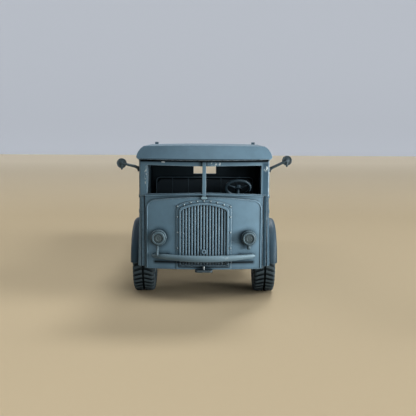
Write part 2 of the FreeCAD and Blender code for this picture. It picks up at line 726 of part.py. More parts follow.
def cab_roof():
    # A bowed plan raised along a backward lean, trimmed to the roof's section and hollowed.
    mid_y = NOSE_MID_Y - ROOF_VISOR
    back_y = CAB_BACK_Y + ROOF_BACK_OVERHANG
    plan = bowed_wall(ROOF_HALF, mid_y, ROOF_BOW, back_y - mid_y, CAB_TOP_Z, CAB_TOP_Z + 1)
    bottom = [face for face in plan.Faces if face.BoundBox.ZMax < CAB_TOP_Z + 0.5][0]
    raised = bottom.extrude(Vector(0, ROOF_LEAN, ROOF_HEIGHT))
    raised = raised.common(box(-ALL, ALL, -ALL, back_y, 0, ALL)).common(roof_section())
    top_z = ROOF_TOP_Z - ROOF_WALL
    hollow = front_view(
        [
            (-CAB_INNER, 0),
            (CAB_INNER, 0),
            (CAB_INNER, CAB_TOP_Z + ROOF_WALL),
            (CAB_INNER - ROOF_WALL, top_z),
            (ROOF_WALL - CAB_INNER, top_z),
            (-CAB_INNER, CAB_TOP_Z + ROOF_WALL),
        ],
        CORNER_FRONT_Y + 2 * CAB_WALL,
        CAB_REAR_INNER_Y,
    )
    bow = CORNER_FRONT_Y - NOSE_MID_Y
    low_z = CAB_TOP_Z - 1
    ahead = bowed_wall(ROOF_HALF, NOSE_MID_Y - 2 * ROOF_VISOR, bow, 2 * ROOF_VISOR, low_z, CAB_TOP_Z + 1)
    lip_end = CAB_TOP_Z + ROOF_LIP_ARCH
    under = arched_outline(ROOF_HALF, low_z, lip_end, CAB_TOP_Z, -ALL, 0)
    return raised.cut(hollow).cut(ahead.common(under)).removeSplitter()


def seat():
    # A full-width bench: boxed base, cushion and backrest, open over the engine cover.
    cushion_z = SEAT_TOP_Z - SEAT_THICKNESS
    base_y = SEAT_FRONT_Y + SEAT_THICKNESS / 2
    base = box(-SEAT_HALF, SEAT_HALF, base_y, CAB_REAR_INNER_Y, FLOOR_TOP_Z, cushion_z)
    tunnel = box(-COVER_HALF, COVER_HALF, -ALL, ALL, 0, ALL)
    cushion = box(-SEAT_HALF, SEAT_HALF, SEAT_FRONT_Y, CAB_REAR_INNER_Y, cushion_z, SEAT_TOP_Z)
    back_y = CAB_REAR_INNER_Y - SEAT_BACK_THICKNESS
    back_z = SEAT_TOP_Z - SEAT_ROUND
    backrest = box(-SEAT_HALF, SEAT_HALF, back_y, CAB_REAR_INNER_Y, back_z, back_z + SEAT_BACK_HEIGHT)
    top_z = back_z + SEAT_BACK_HEIGHT - SEAT_ROUND
    backrest = bevelled(
        backrest, 2 * SEAT_ROUND, lambda edge: runs_along(edge, ALONG_Y) and edge.CenterOfMass.z > top_z
    )
    front_y = SEAT_FRONT_Y + SEAT_ROUND
    cushion = bevelled(
        cushion, SEAT_ROUND, lambda edge: runs_along(edge, ALONG_X) and edge.CenterOfMass.y < front_y
    )
    return base.cut(tunnel).fuse([cushion, backrest]).removeSplitter()


def engine_cover():
    half = COVER_HALF - DOOR_GAP
    front_y = FIREWALL_Y + CAB_WALL
    top = FLOOR_TOP_Z + COVER_HEIGHT
    cover = box(-half, half, front_y, SEAT_FRONT_Y - DOOR_GAP, FLOOR_TOP_Z, top)
    low = top - CLOSE
    return bevelled(cover, CAB_WALL, lambda edge: runs_along(edge, ALONG_Y) and edge.CenterOfMass.z > low)


def steering_wheel():
    low = STEERING_RADIUS - STEERING_RIM
    high = STEERING_RADIUS + STEERING_RIM
    half = STEERING_RIM / 2
    section = [
        (-STEERING_RIM, STEERING_RADIUS - half),
        (-STEERING_RIM, STEERING_RADIUS + half),
        (0, high),
        (STEERING_RIM, STEERING_RADIUS + half),
        (STEERING_RIM, STEERING_RADIUS - half),
        (0, low),
    ]
    rim = facing(turned_ring(section, STEERING_FLATS), ALONG_Z)
    hub_rings = [(-2 * STEERING_RIM, STEERING_HUB_RADIUS), (2 * STEERING_RIM, STEERING_HUB_RADIUS - half)]
    hub = facing(turned(hub_rings, SHAFT_FLATS), ALONG_Z)
    spokes = []
    for index in range(STEERING_SPOKES):
        spoke = box(0, STEERING_RADIUS, -half, half, -half, half)
        spoke.rotate(ORIGIN, ALONG_Z, 90 + 360 * index / STEERING_SPOKES)
        spokes.append(spoke)
    wheel = rim.fuse([hub] + spokes)
    wheel.rotate(ORIGIN, ALONG_X, -STEERING_TILT)
    centre = Vector(STEERING_X, STEERING_Y, STEERING_Z)
    wheel.translate(centre)
    tilt = math.radians(STEERING_TILT)
    down = Vector(0, -math.sin(tilt), -math.cos(tilt))
    column = turned([(0, STEERING_RIM), (3 * STEERING_RADIUS, STEERING_RIM)], SHAFT_FLATS)
    column = placed(facing(column, down), centre.x, centre.y, centre.z)
    behind_dash = box(-ALL, ALL, DASH_REAR_Y, ALL, 0, ALL)
    return wheel.fuse(column.common(behind_dash)).removeSplitter()


def headlamp(stalk_length):
    # A drum lamp with a stepped rim round its sunk face, on a foot and a stalk.
    third = LAMP_DEPTH / 3
    rings = [
        (LAMP_FACE_SINK, LAMP_BACK_RADIUS),
        (third, LAMP_RADIUS),
        (2 * third, LAMP_RADIUS),
        (2 * third + LAMP_FACE_SINK, LAMP_RIM_RADIUS),
        (LAMP_DEPTH, LAMP_RIM_RADIUS),
        (LAMP_DEPTH, LAMP_FACE_RADIUS),
        (LAMP_DEPTH - LAMP_FACE_SINK, LAMP_FACE_RADIUS),
    ]
    ahead = Vector(0, -1, 0)
    lamp = facing(turned(rings, LAMP_FLATS), ahead)
    foot = facing(turned([(-NOSE_WALL, STALK), (third, STALK)], SHAFT_FLATS), ahead)
    half = STALK / 2
    stalk_y = BUMPER_DEPTH / 2 + bow_y(LAMP_X, BUMPER_HALF, BUMPER_MID_Y, BUMPER_BOW)
    back_y = nose_y(LAMP_X) - FIELD_STAND
    middle_y = stalk_y - back_y
    top_z = STALK_SINK - LAMP_RADIUS
    low_z = -LAMP_RADIUS - stalk_length
    stalk = box(-half, half, middle_y - half, middle_y + half, low_z, top_z)
    whole = lamp.fuse([foot, stalk])
    whole.translate(Vector(LAMP_X, back_y, LAMP_Z))
    return whole.cut(behind_nose()).removeSplitter()


def bumper():
    # A bowed bar, level on top and tapered below towards its clipped ends.
    top = BUMPER_Z + BUMPER_HEIGHT
    low_end = BUMPER_Z + BUMPER_TAPER
    inner = BUMPER_HALF - BUMPER_CHAMFER
    outline = front_view(
        [
            (-BUMPER_LEVEL_HALF, BUMPER_Z),
            (BUMPER_LEVEL_HALF, BUMPER_Z),
            (inner, low_end),
            (BUMPER_HALF, low_end + BUMPER_CHAMFER),
            (BUMPER_HALF, top - BUMPER_CHAMFER),
            (inner, top),
            (-inner, top),
            (-BUMPER_HALF, top - BUMPER_CHAMFER),
            (-BUMPER_HALF, low_end + BUMPER_CHAMFER),
            (-inner, low_end),
        ],
        -ALL,
        0,
    )
    bar = bowed_wall(BUMPER_HALF, BUMPER_MID_Y, BUMPER_BOW, BUMPER_DEPTH, BUMPER_Z, top).common(outline)
    brackets = []
    for side in (-1, 1):
        x = side * BUMPER_BRACKET_X
        bar_y = bow_y(x, BUMPER_HALF, BUMPER_MID_Y, BUMPER_BOW) + BUMPER_DEPTH / 2
        low = low_end + BUMPER_CHAMFER / 2
        high = top - BUMPER_CHAMFER
        half = BUMPER_BRACKET_HALF
        brackets.append(box(x - half, x + half, bar_y, NOSE_EDGE_Y, low, high))
    return bar.fuse(brackets).cut(behind_nose()).removeSplitter()


def mirror(height):
    # A round mirror on an arm from a small plate on the windscreen post.
    root = Vector(CAB_HALF, MIRROR_Y, MIRROR_ROOT_Z)
    centre = Vector(CAB_HALF + MIRROR_REACH, MIRROR_Y, height)
    run = centre - root
    arm = facing(turned([(-1, MIRROR_ARM_RADIUS), (run.Length, MIRROR_ARM_RADIUS)], SHAFT_FLATS), run)
    arm = placed(arm, root.x, root.y, root.z)
    half = MIRROR_ARM_RADIUS
    plate_z = root.z + half - MIRROR_PLATE
    plate = box(CAB_HALF, CAB_HALF + half, root.y - half, root.y + half, plate_z, root.z + half)
    rim = MIRROR_RADIUS - MIRROR_THICKNESS / 3
    edge = MIRROR_THICKNESS / 2
    disc = turned([(-edge, rim), (-edge / 2, MIRROR_RADIUS), (edge, MIRROR_RADIUS)], MIRROR_FLATS)
    disc = placed(facing(disc, ALONG_Y), centre.x, centre.y, centre.z)
    tip = turned([(0, half), (MIRROR_RADIUS + half, half / 3)], SHAFT_FLATS)
    tip = placed(facing(tip, Vector(0, 0, -1)), centre.x, centre.y, centre.z)
    wall = box(-ALL, CAB_HALF, -ALL, ALL, 0, ALL)
    return arm.cut(wall).fuse([plate, disc, tip]).removeSplitter()


def front_fender():
    # A half drum over the wheel, hollow inside with a narrow inturned edge.
    shoulder_x = FENDER_OUTER_X - FENDER_ROUND
    rings = [
        (CAB_INNER, FENDER_RADIUS),
        (shoulder_x, FENDER_RADIUS),
        (FENDER_OUTER_X, FENDER_RADIUS - FENDER_ROUND),
    ]
    half_drum = placed(turned(rings, FENDER_FLATS), 0, FENDER_CENTRE_Y, FENDER_CENTRE_Z)
    half_drum = half_drum.common(box(0, ALL, -ALL, ALL, FENDER_CENTRE_Z, ALL))
    inner = FENDER_RADIUS - FENDER_WALL
    hollow = wheel_arch(inner, 0, FENDER_OUTER_X - FENDER_SKIRT)
    mouth = wheel_arch(inner - FENDER_SKIRT_DEPTH, 0, ALL)
    return half_drum.cut(hollow).cut(mouth).cut(side_slab(CORNER_FRONT_Y, CAB_BACK_Y))


def cab_step():
    rear_y = CAB_BACK_Y + STEP_LENGTH
    front_y = FENDER_CENTRE_Y + FENDER_RADIUS
    tread = box(CAB_INNER, FENDER_OUTER_X, front_y, rear_y, STEP_Z, STEP_Z + STEP_THICKNESS)
    bracket_y = CAB_BACK_Y + STEP_BRACKET
    top = RAIL_BOTTOM_Z + STEP_BRACKET
    low = STEP_Z + STEP_THICKNESS
    bracket = box(RAIL_OUTER_X, CAB_HALF, bracket_y, bracket_y + STEP_BRACKET, low, top)
    return tread.fuse(bracket).removeSplitter()


def tyre_body(width, tread_radius):
    # A ring with bulged walls.
    half = width / 2
    shoulder = half - SHOULDER_STEP
    bead = half - BEAD_STEP
    section = [
        (-bead, RIM_RADIUS),
        (-half, BULGE_RADIUS),
        (-shoulder, tread_radius),
        (shoulder, tread_radius),
        (half, BULGE_RADIUS),
        (bead, RIM_RADIUS),
    ]
    return turned_ring(section, WHEEL_FLATS)


def tyre(width):
    # The ring with two rows of slanted lugs, one either side of a centre groove.
    shoulder = width / 2 - SHOULDER_STEP
    inner = TREAD_GROOVE / 2
    side = LUG_WIDTH / 2
    foot = [
        Vector(inner, -LUG_LEAN - side, -WHEEL_RADIUS),
        Vector(shoulder, LUG_LEAN - side, -WHEEL_RADIUS),
        Vector(shoulder, LUG_LEAN + side, -WHEEL_RADIUS),
        Vector(inner, side - LUG_LEAN, -WHEEL_RADIUS),
    ]
    lug = polygon(foot).extrude(Vector(0, 0, (WHEEL_RADIUS - BULGE_RADIUS) / 2))
    lugs = []
    for index in range(WHEEL_FLATS):
        for one in (lug, mirrored(lug)):
            item = one.copy()
            item.rotate(ORIGIN, ALONG_X, 360 * index / WHEEL_FLATS)
            lugs.append(item)
    return tyre_body(width, TREAD_RADIUS).fuse(lugs).removeSplitter()


def around(shape, spread):
    # Copies of a small piece round the X axis, one to every so many flats of the wheel.
    items = []
    for index in range(0, WHEEL_FLATS, spread):
        item = shape.copy()
        item.rotate(ORIGIN, ALONG_X, 360 * index / WHEEL_FLATS)
        items.append(item)
    return items


def wheel_disc(half, face_x, dish, hub_set):
    # Rim barrel with a dished disc, hand holes and a hub bored for the stub axle.
    inner = RIM_RADIUS - RIM_WALL
    back_x = face_x - DISC_THICKNESS
    section = [
        (-half, RIM_RADIUS),
        (half, RIM_RADIUS),
        (half, inner),
        (face_x, inner),
        (face_x + dish, DISC_FLAT_RADIUS),
        (face_x + dish, HUB_RADIUS / 2),
        (back_x + dish, HUB_RADIUS / 2),
        (back_x + dish, DISC_FLAT_RADIUS),
        (back_x, inner),
        (-half, inner),
    ]
    body = turned_ring(section, WHEEL_FLATS)
    hole = turned([(-half, HAND_HOLE_RADIUS), (half, HAND_HOLE_RADIUS)], HAND_HOLE_FLATS)
    hole = placed(hole, 0, 0, -HAND_HOLE_CIRCLE)
    hub_front = half - hub_set + BEAD_STEP
    hub_rings = [
        (back_x + min(dish, 0), HUB_RADIUS),
        (hub_front - HUB_CHAMFER, HUB_RADIUS),
        (hub_front, HUB_RADIUS - HUB_CHAMFER),
    ]
    whole = body.cut(around(hole, 2)).fuse(turned(hub_rings, SHAFT_FLATS))
    bore = cylinder(STUB_RADIUS + STUB_CLEARANCE, Vector(-ALL, 0, 0), Vector(hub_front - HUB_CAP, 0, 0))
    return whole.cut(bore).removeSplitter()


def front_rim():
    # Built about its own centre plane, with the outer face towards +X.
    return wheel_disc(FRONT_TYRE_WIDTH / 2 - BEAD_STEP, 2 * DISC_THICKNESS, DISC_DISH, FRONT_HUB_SET)


def rear_rim():
    # One long barrel for the twin tyres, with its disc dished in from the outer rim.
    half = TWIN_GAP / 2 + REAR_TYRE_WIDTH - BEAD_STEP
    face_x = (REAR_TYRE_WIDTH + TWIN_GAP) / 2 + DISC_THICKNESS
    return wheel_disc(half, face_x, -REAR_DISH, REAR_HUB_SET)


def spare_wheel():
    # A worn spare lying flat under the rear of the frame.
    half = FRONT_TYRE_WIDTH / 2
    disc = turned([(-DISC_THICKNESS / 2, RIM_RADIUS), (DISC_THICKNESS / 2, RIM_RADIUS)], WHEEL_FLATS)
    ring = tyre_body(FRONT_TYRE_WIDTH, WHEEL_RADIUS)
    whole = facing(ring.fuse(disc).removeSplitter(), ALONG_Z)
    return placed(whole, 0, SPARE_Y, RAIL_BOTTOM_Z - SPARE_GAP - half)


def arc_strip(centre_z, inner, thickness, angle):
    # A curved strip below its own centre, from minus angle to plus angle.
    def at(radius, turn):
        return Vector(0, radius * math.sin(turn), centre_z - radius * math.cos(turn))

    outer = inner + thickness
    edges = [
        arc_edge(at(outer, -angle), at(outer, 0), at(outer, angle)),
        line_edge(at(outer, angle), at(inner, angle)),
        arc_edge(at(inner, angle), at(inner, 0), at(inner, -angle)),
        line_edge(at(inner, -angle), at(outer, -angle)),
    ]
    return Part.Face(Part.Wire(edges)).extrude(Vector(LEAF_WIDTH, 0, 0))


def leaf_spring(centre_y, length, seat_z):
    # Leaves on one common centre, each shorter than the one above it, with a clip and two shackles.
    main_z = seat_z + (LEAVES - 1) * LEAF_THICKNESS
    rise = RAIL_BOTTOM_Z - main_z - 2 * LEAF_THICKNESS
    half = length / 2
    radius = (half * half + rise * rise) / (2 * rise)
    centre_z = main_z + radius
    shackle_half = SHACKLE_LENGTH / 2
    leaves = []
    for index in range(LEAVES):
        inner = radius - LEAF_THICKNESS + index * LEAF_THICKNESS
        angle = math.asin(half * (1 - LEAF_STEP * index) / radius)
        leaves.append(arc_strip(centre_z, inner, LEAF_THICKNESS, angle))
    end_z = centre_z - (radius - LEAF_THICKNESS) * math.cos(math.asin(half / radius))
    low = end_z - LEAF_THICKNESS
    for side in (-1, 1):
        y = side * (half - shackle_half)
        leaves.append(box(0, LEAF_WIDTH, y - shackle_half, y + shackle_half, low, RAIL_BOTTOM_Z))
    clip = box(0, LEAF_WIDTH, -CLIP_LENGTH / 2, CLIP_LENGTH / 2, seat_z, main_z + 2 * LEAF_THICKNESS)
    stack = leaves[0].fuse(leaves[1:] + [clip])
    return placed(stack.removeSplitter(), RAIL_X - LEAF_WIDTH / 2, centre_y, 0)


def front_axle():
    # An I-section beam between two king pins.
    half = BEAM_WIDTH / 2
    beam = box(-KNUCKLE_X, KNUCKLE_X, -half, half, -BEAM_HEIGHT / 2, BEAM_HEIGHT / 2)
    reach = KNUCKLE_X - 2 * KING_PIN_RADIUS
    flute = box(-reach, reach, half - BEAM_FLUTE, ALL, -BEAM_FLUTE, BEAM_FLUTE)
    beam = beam.cut(flute).cut(flute.mirror(ORIGIN, ALONG_Y))
    pin_half = KING_PIN_HEIGHT / 2
    pin = facing(turned([(-pin_half, KING_PIN_RADIUS), (pin_half, KING_PIN_RADIUS)], SHAFT_FLATS), ALONG_Z)
    pins = [placed(pin, -KNUCKLE_X, 0, 0), placed(pin, KNUCKLE_X, 0, 0)]
    return placed(beam.fuse(pins).removeSplitter(), 0, FRONT_AXLE_Y, AXLE_Z)


def drum(x0, width):
    rings = [
        (x0, DRUM_RADIUS - DRUM_CHAMFER),
        (x0 + DRUM_CHAMFER, DRUM_RADIUS),
        (x0 + width, DRUM_RADIUS),
    ]
    return turned(rings, DRUM_FLATS)


def front_knuckle():
    # A stub axle with its brake drum, carried by the king pin at the end of the axle beam.
    drum_x = FRONT_TRACK_HALF - FRONT_TYRE_WIDTH / 2
    stub_end = drum_x + FRONT_TYRE_WIDTH - FRONT_HUB_SET - HUB_CAP - STUB_CLEARANCE
    arm_radius = KING_PIN_RADIUS
    arm = box(KNUCKLE_X, drum_x, -arm_radius, arm_radius, -arm_radius, arm_radius)
    pin = turned([(-KING_PIN_HEIGHT, KING_PIN_RADIUS), (KING_PIN_HEIGHT, KING_PIN_RADIUS)], SHAFT_FLATS)
    arm = arm.cut(placed(facing(pin, ALONG_Z), KNUCKLE_X, 0, 0))
    stub = cylinder(STUB_RADIUS, Vector(drum_x, 0, 0), Vector(stub_end, 0, 0))
    whole = arm.fuse([drum(drum_x, DRUM_WIDTH), stub]).removeSplitter()
    return placed(whole, 0, FRONT_AXLE_Y, AXLE_Z)


def rear_axle():
    # Tube, banjo housing, drums and the two stubs that carry the twin wheels.
    drum_x = REAR_INNER_FACE_X
    stub_end = REAR_OUTER_FACE_X - REAR_HUB_SET - HUB_CAP - STUB_CLEARANCE
    tube = turned([(-drum_x, AXLE_TUBE_RADIUS), (drum_x, AXLE_TUBE_RADIUS)], SHAFT_FLATS)
    half = DIFF_WIDTH / 2
    waist = (DIFF_RADIUS + AXLE_TUBE_RADIUS) / 2
    rings = [(-half, waist), (-half / 2, DIFF_RADIUS), (half / 2, DIFF_RADIUS), (half, waist)]
    banjo = turned(rings, DRUM_FLATS)
    nose = turned([(0, waist), (DIFF_RADIUS + DIFF_NOSE, DIFF_NOSE_RADIUS)], SHAFT_FLATS)
    parts = [banjo, facing(nose, Vector(0, -1, 0))]
    side_drum = drum(drum_x, DRUM_WIDTH - DRUM_CHAMFER)
    parts += [side_drum, mirrored(side_drum)]
    for end in (stub_end, -stub_end):
        parts.append(cylinder(STUB_RADIUS, ORIGIN, Vector(end, 0, 0)))
    return placed(tube.fuse(parts).removeSplitter(), 0, REAR_AXLE_Y, AXLE_Z)


def chassis_frame():
    # Two channel rails, open inwards, tied by box cross members.
    rail = box(RAIL_INNER_X, RAIL_OUTER_X, FRAME_FRONT_Y, FRAME_REAR_Y, RAIL_BOTTOM_Z, RAIL_TOP_Z)
    web_x = RAIL_OUTER_X - RAIL_WEB
    pocket = box(0, web_x, -ALL, ALL, RAIL_BOTTOM_Z + RAIL_WEB, RAIL_TOP_Z - RAIL_WEB)
    rail = rail.cut(pocket)
    top = RAIL_TOP_Z - RAIL_WEB
    first_y = ENGINE_REAR_Y + GEARBOX_LENGTH
    last_y = FRAME_REAR_Y - CROSS_MEMBER_WIDTH
    places = [FRAME_FRONT_Y]
    for index in range(CROSS_MEMBERS):
        places.append(first_y + (last_y - first_y) * index / (CROSS_MEMBERS - 1))
    members = []
    for y in places:
        members.append(box(-web_x, web_x, y, y + CROSS_MEMBER_WIDTH, top - CROSS_MEMBER_HEIGHT, top))
    end_y = FRAME_REAR_Y - RAIL_WEB
    members.append(box(-RAIL_OUTER_X, RAIL_OUTER_X, end_y, FRAME_REAR_Y, RAIL_BOTTOM_Z, RAIL_TOP_Z))
    return rail.fuse([mirrored(rail)] + members).removeSplitter()


def engine():
    return box(-ENGINE_HALF, ENGINE_HALF, ENGINE_FRONT_Y, ENGINE_REAR_Y, ENGINE_BOTTOM_Z, FLOOR_BOTTOM_Z)


def gearbox_and_shaft():
    # A tapered gearbox and the propeller shaft that runs back to the rear axle's nose.
    small = GEARBOX_RADIUS * GEARBOX_TAPER
    housing = facing(turned([(0, GEARBOX_RADIUS), (GEARBOX_LENGTH, small)], SHAFT_FLATS), ALONG_Y)
    housing = placed(housing, 0, ENGINE_REAR_Y, GEARBOX_Z)
    start = Vector(0, ENGINE_REAR_Y + GEARBOX_LENGTH, GEARBOX_Z)
    end_y = REAR_AXLE_Y - DIFF_RADIUS - DIFF_NOSE
    run = Vector(0, end_y, AXLE_Z) - start
    shaft = turned([(-1, PROPSHAFT_RADIUS), (run.Length + 1, PROPSHAFT_RADIUS)], SHAFT_FLATS)
    shaft = placed(facing(shaft, run), start.x, start.y, start.z)
    shaft = shaft.common(box(-ALL, ALL, -ALL, end_y, 0, ALL))
    return housing.fuse(shaft).removeSplitter()


def bearer(y, bottom):
    # A cross bearer whose underside tapers up towards its ends.
    half = BEARER_WIDTH / 2
    reach = BED_HALF - BED_BOARD
    middle = (bottom + BED_FLOOR_BOTTOM_Z) / 2
    taper_x = reach - 3 * BEARER_HEIGHT
    outline = [
        (-taper_x, bottom),
        (taper_x, bottom),
        (reach, middle),
        (reach, BED_FLOOR_BOTTOM_Z),
        (-reach, BED_FLOOR_BOTTOM_Z),
        (-reach, middle),
    ]
    return front_view(outline, y - half, y + half)


def bed_bearers():
    # Two long sills on the frame and the cross bearers that carry the boards.
    sill_top = BED_FLOOR_BOTTOM_Z - BEARER_HEIGHT
    sill = box(RAIL_INNER_X, RAIL_OUTER_X, BED_FRONT_Y, FRAME_REAR_Y, RAIL_TOP_Z, sill_top)
    parts = [mirrored(sill)]
    clear = WHEEL_RADIUS + BEARER_WIDTH
    front_run = REAR_AXLE_Y - clear - BED_FRONT_Y - BEARER_WIDTH
    for index in range(FRONT_BEARERS):
        y = BED_FRONT_Y + BEARER_WIDTH + front_run * index / (FRONT_BEARERS - 1)
        parts.append(bearer(y, sill_top))
    for y in (REAR_AXLE_Y + clear, FRAME_REAR_Y - BEARER_WIDTH):
        parts.append(bearer(y, sill_top))
    return sill.fuse(parts).removeSplitter()


def bed_floor():
    inner = BED_HALF - BED_BOARD
    rear_y = BED_REAR_Y - BED_BOARD
    floor = box(-inner, inner, BED_FRONT_Y, rear_y, BED_FLOOR_BOTTOM_Z, BED_FLOOR_TOP_Z)
    half = PLANK_GROOVE / 2
    grooves = []
    for index in range(1, FLOOR_PLANKS):
        x = 2 * inner * index / FLOOR_PLANKS - inner
        grooves.append(box(x - half, x + half, -ALL, ALL, BED_FLOOR_TOP_Z - PLANK_GROOVE, ALL))
    return floor.cut(grooves)


def boarded(length, height, planks, posts):
    # A board panel lying along X, outer face at Y = 0, with plank lines and upright irons.
    panel = box(0, length, 0, BED_BOARD, 0, height)
    half = PLANK_GROOVE / 2
    grooves = []
    for index in range(1, planks):
        z = height * index / planks
        grooves.append(box(-1, length + 1, -1, PLANK_GROOVE, z - half, z + half))
    irons = []
    iron_half = SIDE_POST_WIDTH / 2
    for index in range(posts):
        x = length * (index + 0.5) / posts
        irons.append(box(x - iron_half, x + iron_half, -SIDE_POST_STAND, PLANK_GROOVE, 0, height))
    panel = panel.cut(grooves)
    return panel.fuse(irons).removeSplitter() if irons else panel


def bed_side():
    length = BED_REAR_Y - BED_BOARD - BED_FRONT_Y
    panel = boarded(length, BED_SIDE_TOP_Z - BED_FLOOR_BOTTOM_Z, SIDE_PLANKS, SIDE_POSTS)
    panel.rotate(ORIGIN, ALONG_Z, 90)
    return placed(panel, BED_HALF, BED_FRONT_Y, BED_FLOOR_BOTTOM_Z)


def tailboard():
    panel = boarded(2 * BED_HALF, BED_SIDE_TOP_Z - BED_FLOOR_BOTTOM_Z, SIDE_PLANKS, TAIL_POSTS)
    panel.rotate(ORIGIN, ALONG_Z, 180)
    return placed(panel, BED_HALF, BED_REAR_Y, BED_FLOOR_BOTTOM_Z)


def headboard():
    # Boards across the front of the bed, with a tall two-post rack behind the cab.
    panel = boarded(2 * BED_HALF, HEADBOARD_HEIGHT, HEADBOARD_PLANKS, 0)
    panel = placed(panel, -BED_HALF, BED_FRONT_Y - BED_BOARD, BED_FLOOR_BOTTOM_Z)
    half = RACK_POST / 2
    top = BED_FLOOR_BOTTOM_Z + RACK_HEIGHT
    front_y = BED_FRONT_Y - RACK_POST
    post = box(RACK_POST_X - half, RACK_POST_X + half, front_y, BED_FRONT_Y, BED_FLOOR_BOTTOM_Z, top)
    rail_z = top - RACK_RAIL_DROP
    rail_y = BED_FRONT_Y - RACK_RAIL
    rail = box(-RACK_POST_X, RACK_POST_X, rail_y, BED_FRONT_Y, rail_z - RACK_RAIL, rail_z)
    return panel.fuse([post, mirrored(post), rail]).removeSplitter()


def hangers(front_y, length):
    # Two brackets from the left rail out to a tank or box.
    items = []
    top = RAIL_TOP_Z - HANGER
    for share in (HANGER_SHARE, 1 - HANGER_SHARE):
        y = front_y + length * share - HANGER / 2
        items.append(box(RAIL_OUTER_X, TANK_INNER_X + HANGER, y, y + HANGER, top - HANGER, top))
    return items


def fuel_tank():
    outer_x = TANK_INNER_X + TANK_WIDTH
    rear_y = TANK_FRONT_Y + TANK_LENGTH
    tank = box(TANK_INNER_X, outer_x, TANK_FRONT_Y, rear_y, RAIL_TOP_Z - TANK_HEIGHT, RAIL_TOP_Z)
    tank = bevelled(tank, TANK_CHAMFER, lambda edge: runs_along(edge, ALONG_Y))
    cap = turned([(-TANK_CAP_HEIGHT, TANK_CAP_RADIUS), (TANK_CAP_HEIGHT, TANK_CAP_RADIUS)], SHAFT_FLATS)
    middle = Vector(TANK_INNER_X + outer_x, TANK_FRONT_Y + rear_y, 0) / 2
    cap = placed(facing(cap, ALONG_Z), middle.x, middle.y, RAIL_TOP_Z)
    return tank.fuse(hangers(TANK_FRONT_Y, TANK_LENGTH) + [cap]).removeSplitter()


def tool_box():
    # Made on the left side like the tank, then mirrored to the right.
    outer_x = TANK_INNER_X + BOX_WIDTH
    rear_y = TANK_FRONT_Y + BOX_LENGTH
    chest = box(TANK_INNER_X, outer_x, TANK_FRONT_Y, rear_y, RAIL_TOP_Z - BOX_HEIGHT, RAIL_TOP_Z)
    seam_z = RAIL_TOP_Z - LID_DROP
    seam = box(outer_x - PLANK_GROOVE, ALL, -ALL, ALL, seam_z, seam_z + PLANK_GROOVE)
    return mirrored(chest.cut(seam).fuse(hangers(TANK_FRONT_Y, BOX_LENGTH)).removeSplitter())


def tow_eye():
    # A plate on the rear cross member with a flat eye drilled for a towing pin.
    plate_y = FRAME_REAR_Y + TOW_PLATE
    low = (RAIL_BOTTOM_Z + RAIL_TOP_Z - TOW_EYE_THICKNESS) / 2
    high = low + TOW_EYE_THICKNESS
    plate = box(-TOW_PLATE_HALF, TOW_PLATE_HALF, FRAME_REAR_Y, plate_y, RAIL_BOTTOM_Z, RAIL_TOP_Z)
    centre_y = plate_y + TOW_EYE_HOLE + TOW_EYE_LIP
    eye = cylinder(TOW_EYE_RADIUS, Vector(0, centre_y, low), Vector(0, centre_y, high))
    eye = eye.common(box(-ALL, ALL, FRAME_REAR_Y, ALL, 0, ALL))
    hole = cylinder(TOW_EYE_HOLE, Vector(0, centre_y, low), Vector(0, centre_y, high))
    return plate.fuse(eye).cut(hole).removeSplitter()


def tow_pin():
    # The towing jaw under the middle of the nose, with its upright pin.
    face_y = NOSE_MID_Y - FIELD_STAND
    low = NOSE_BOTTOM_Z - TOW_JAW
    pin_y = face_y - GRILLE_RING_STAND - TOW_PIN_RADIUS - DOOR_GAP
    jaw_y = pin_y - 2 * TOW_PIN_RADIUS
    jaw = box(-TOW_JAW_HALF, TOW_JAW_HALF, jaw_y, face_y + 2 * NOSE_WALL, low, NOSE_BOTTOM_Z)
    jaw = bevelled(jaw, TOW_JAW, lambda edge: runs_along(edge, ALONG_Z))
    pin = turned([(0, TOW_PIN_RADIUS), (3 * TOW_JAW, TOW_PIN_RADIUS)], SHAFT_FLATS)
    return jaw.fuse(placed(facing(pin, ALONG_Z), 0, pin_y, low)).removeSplitter()


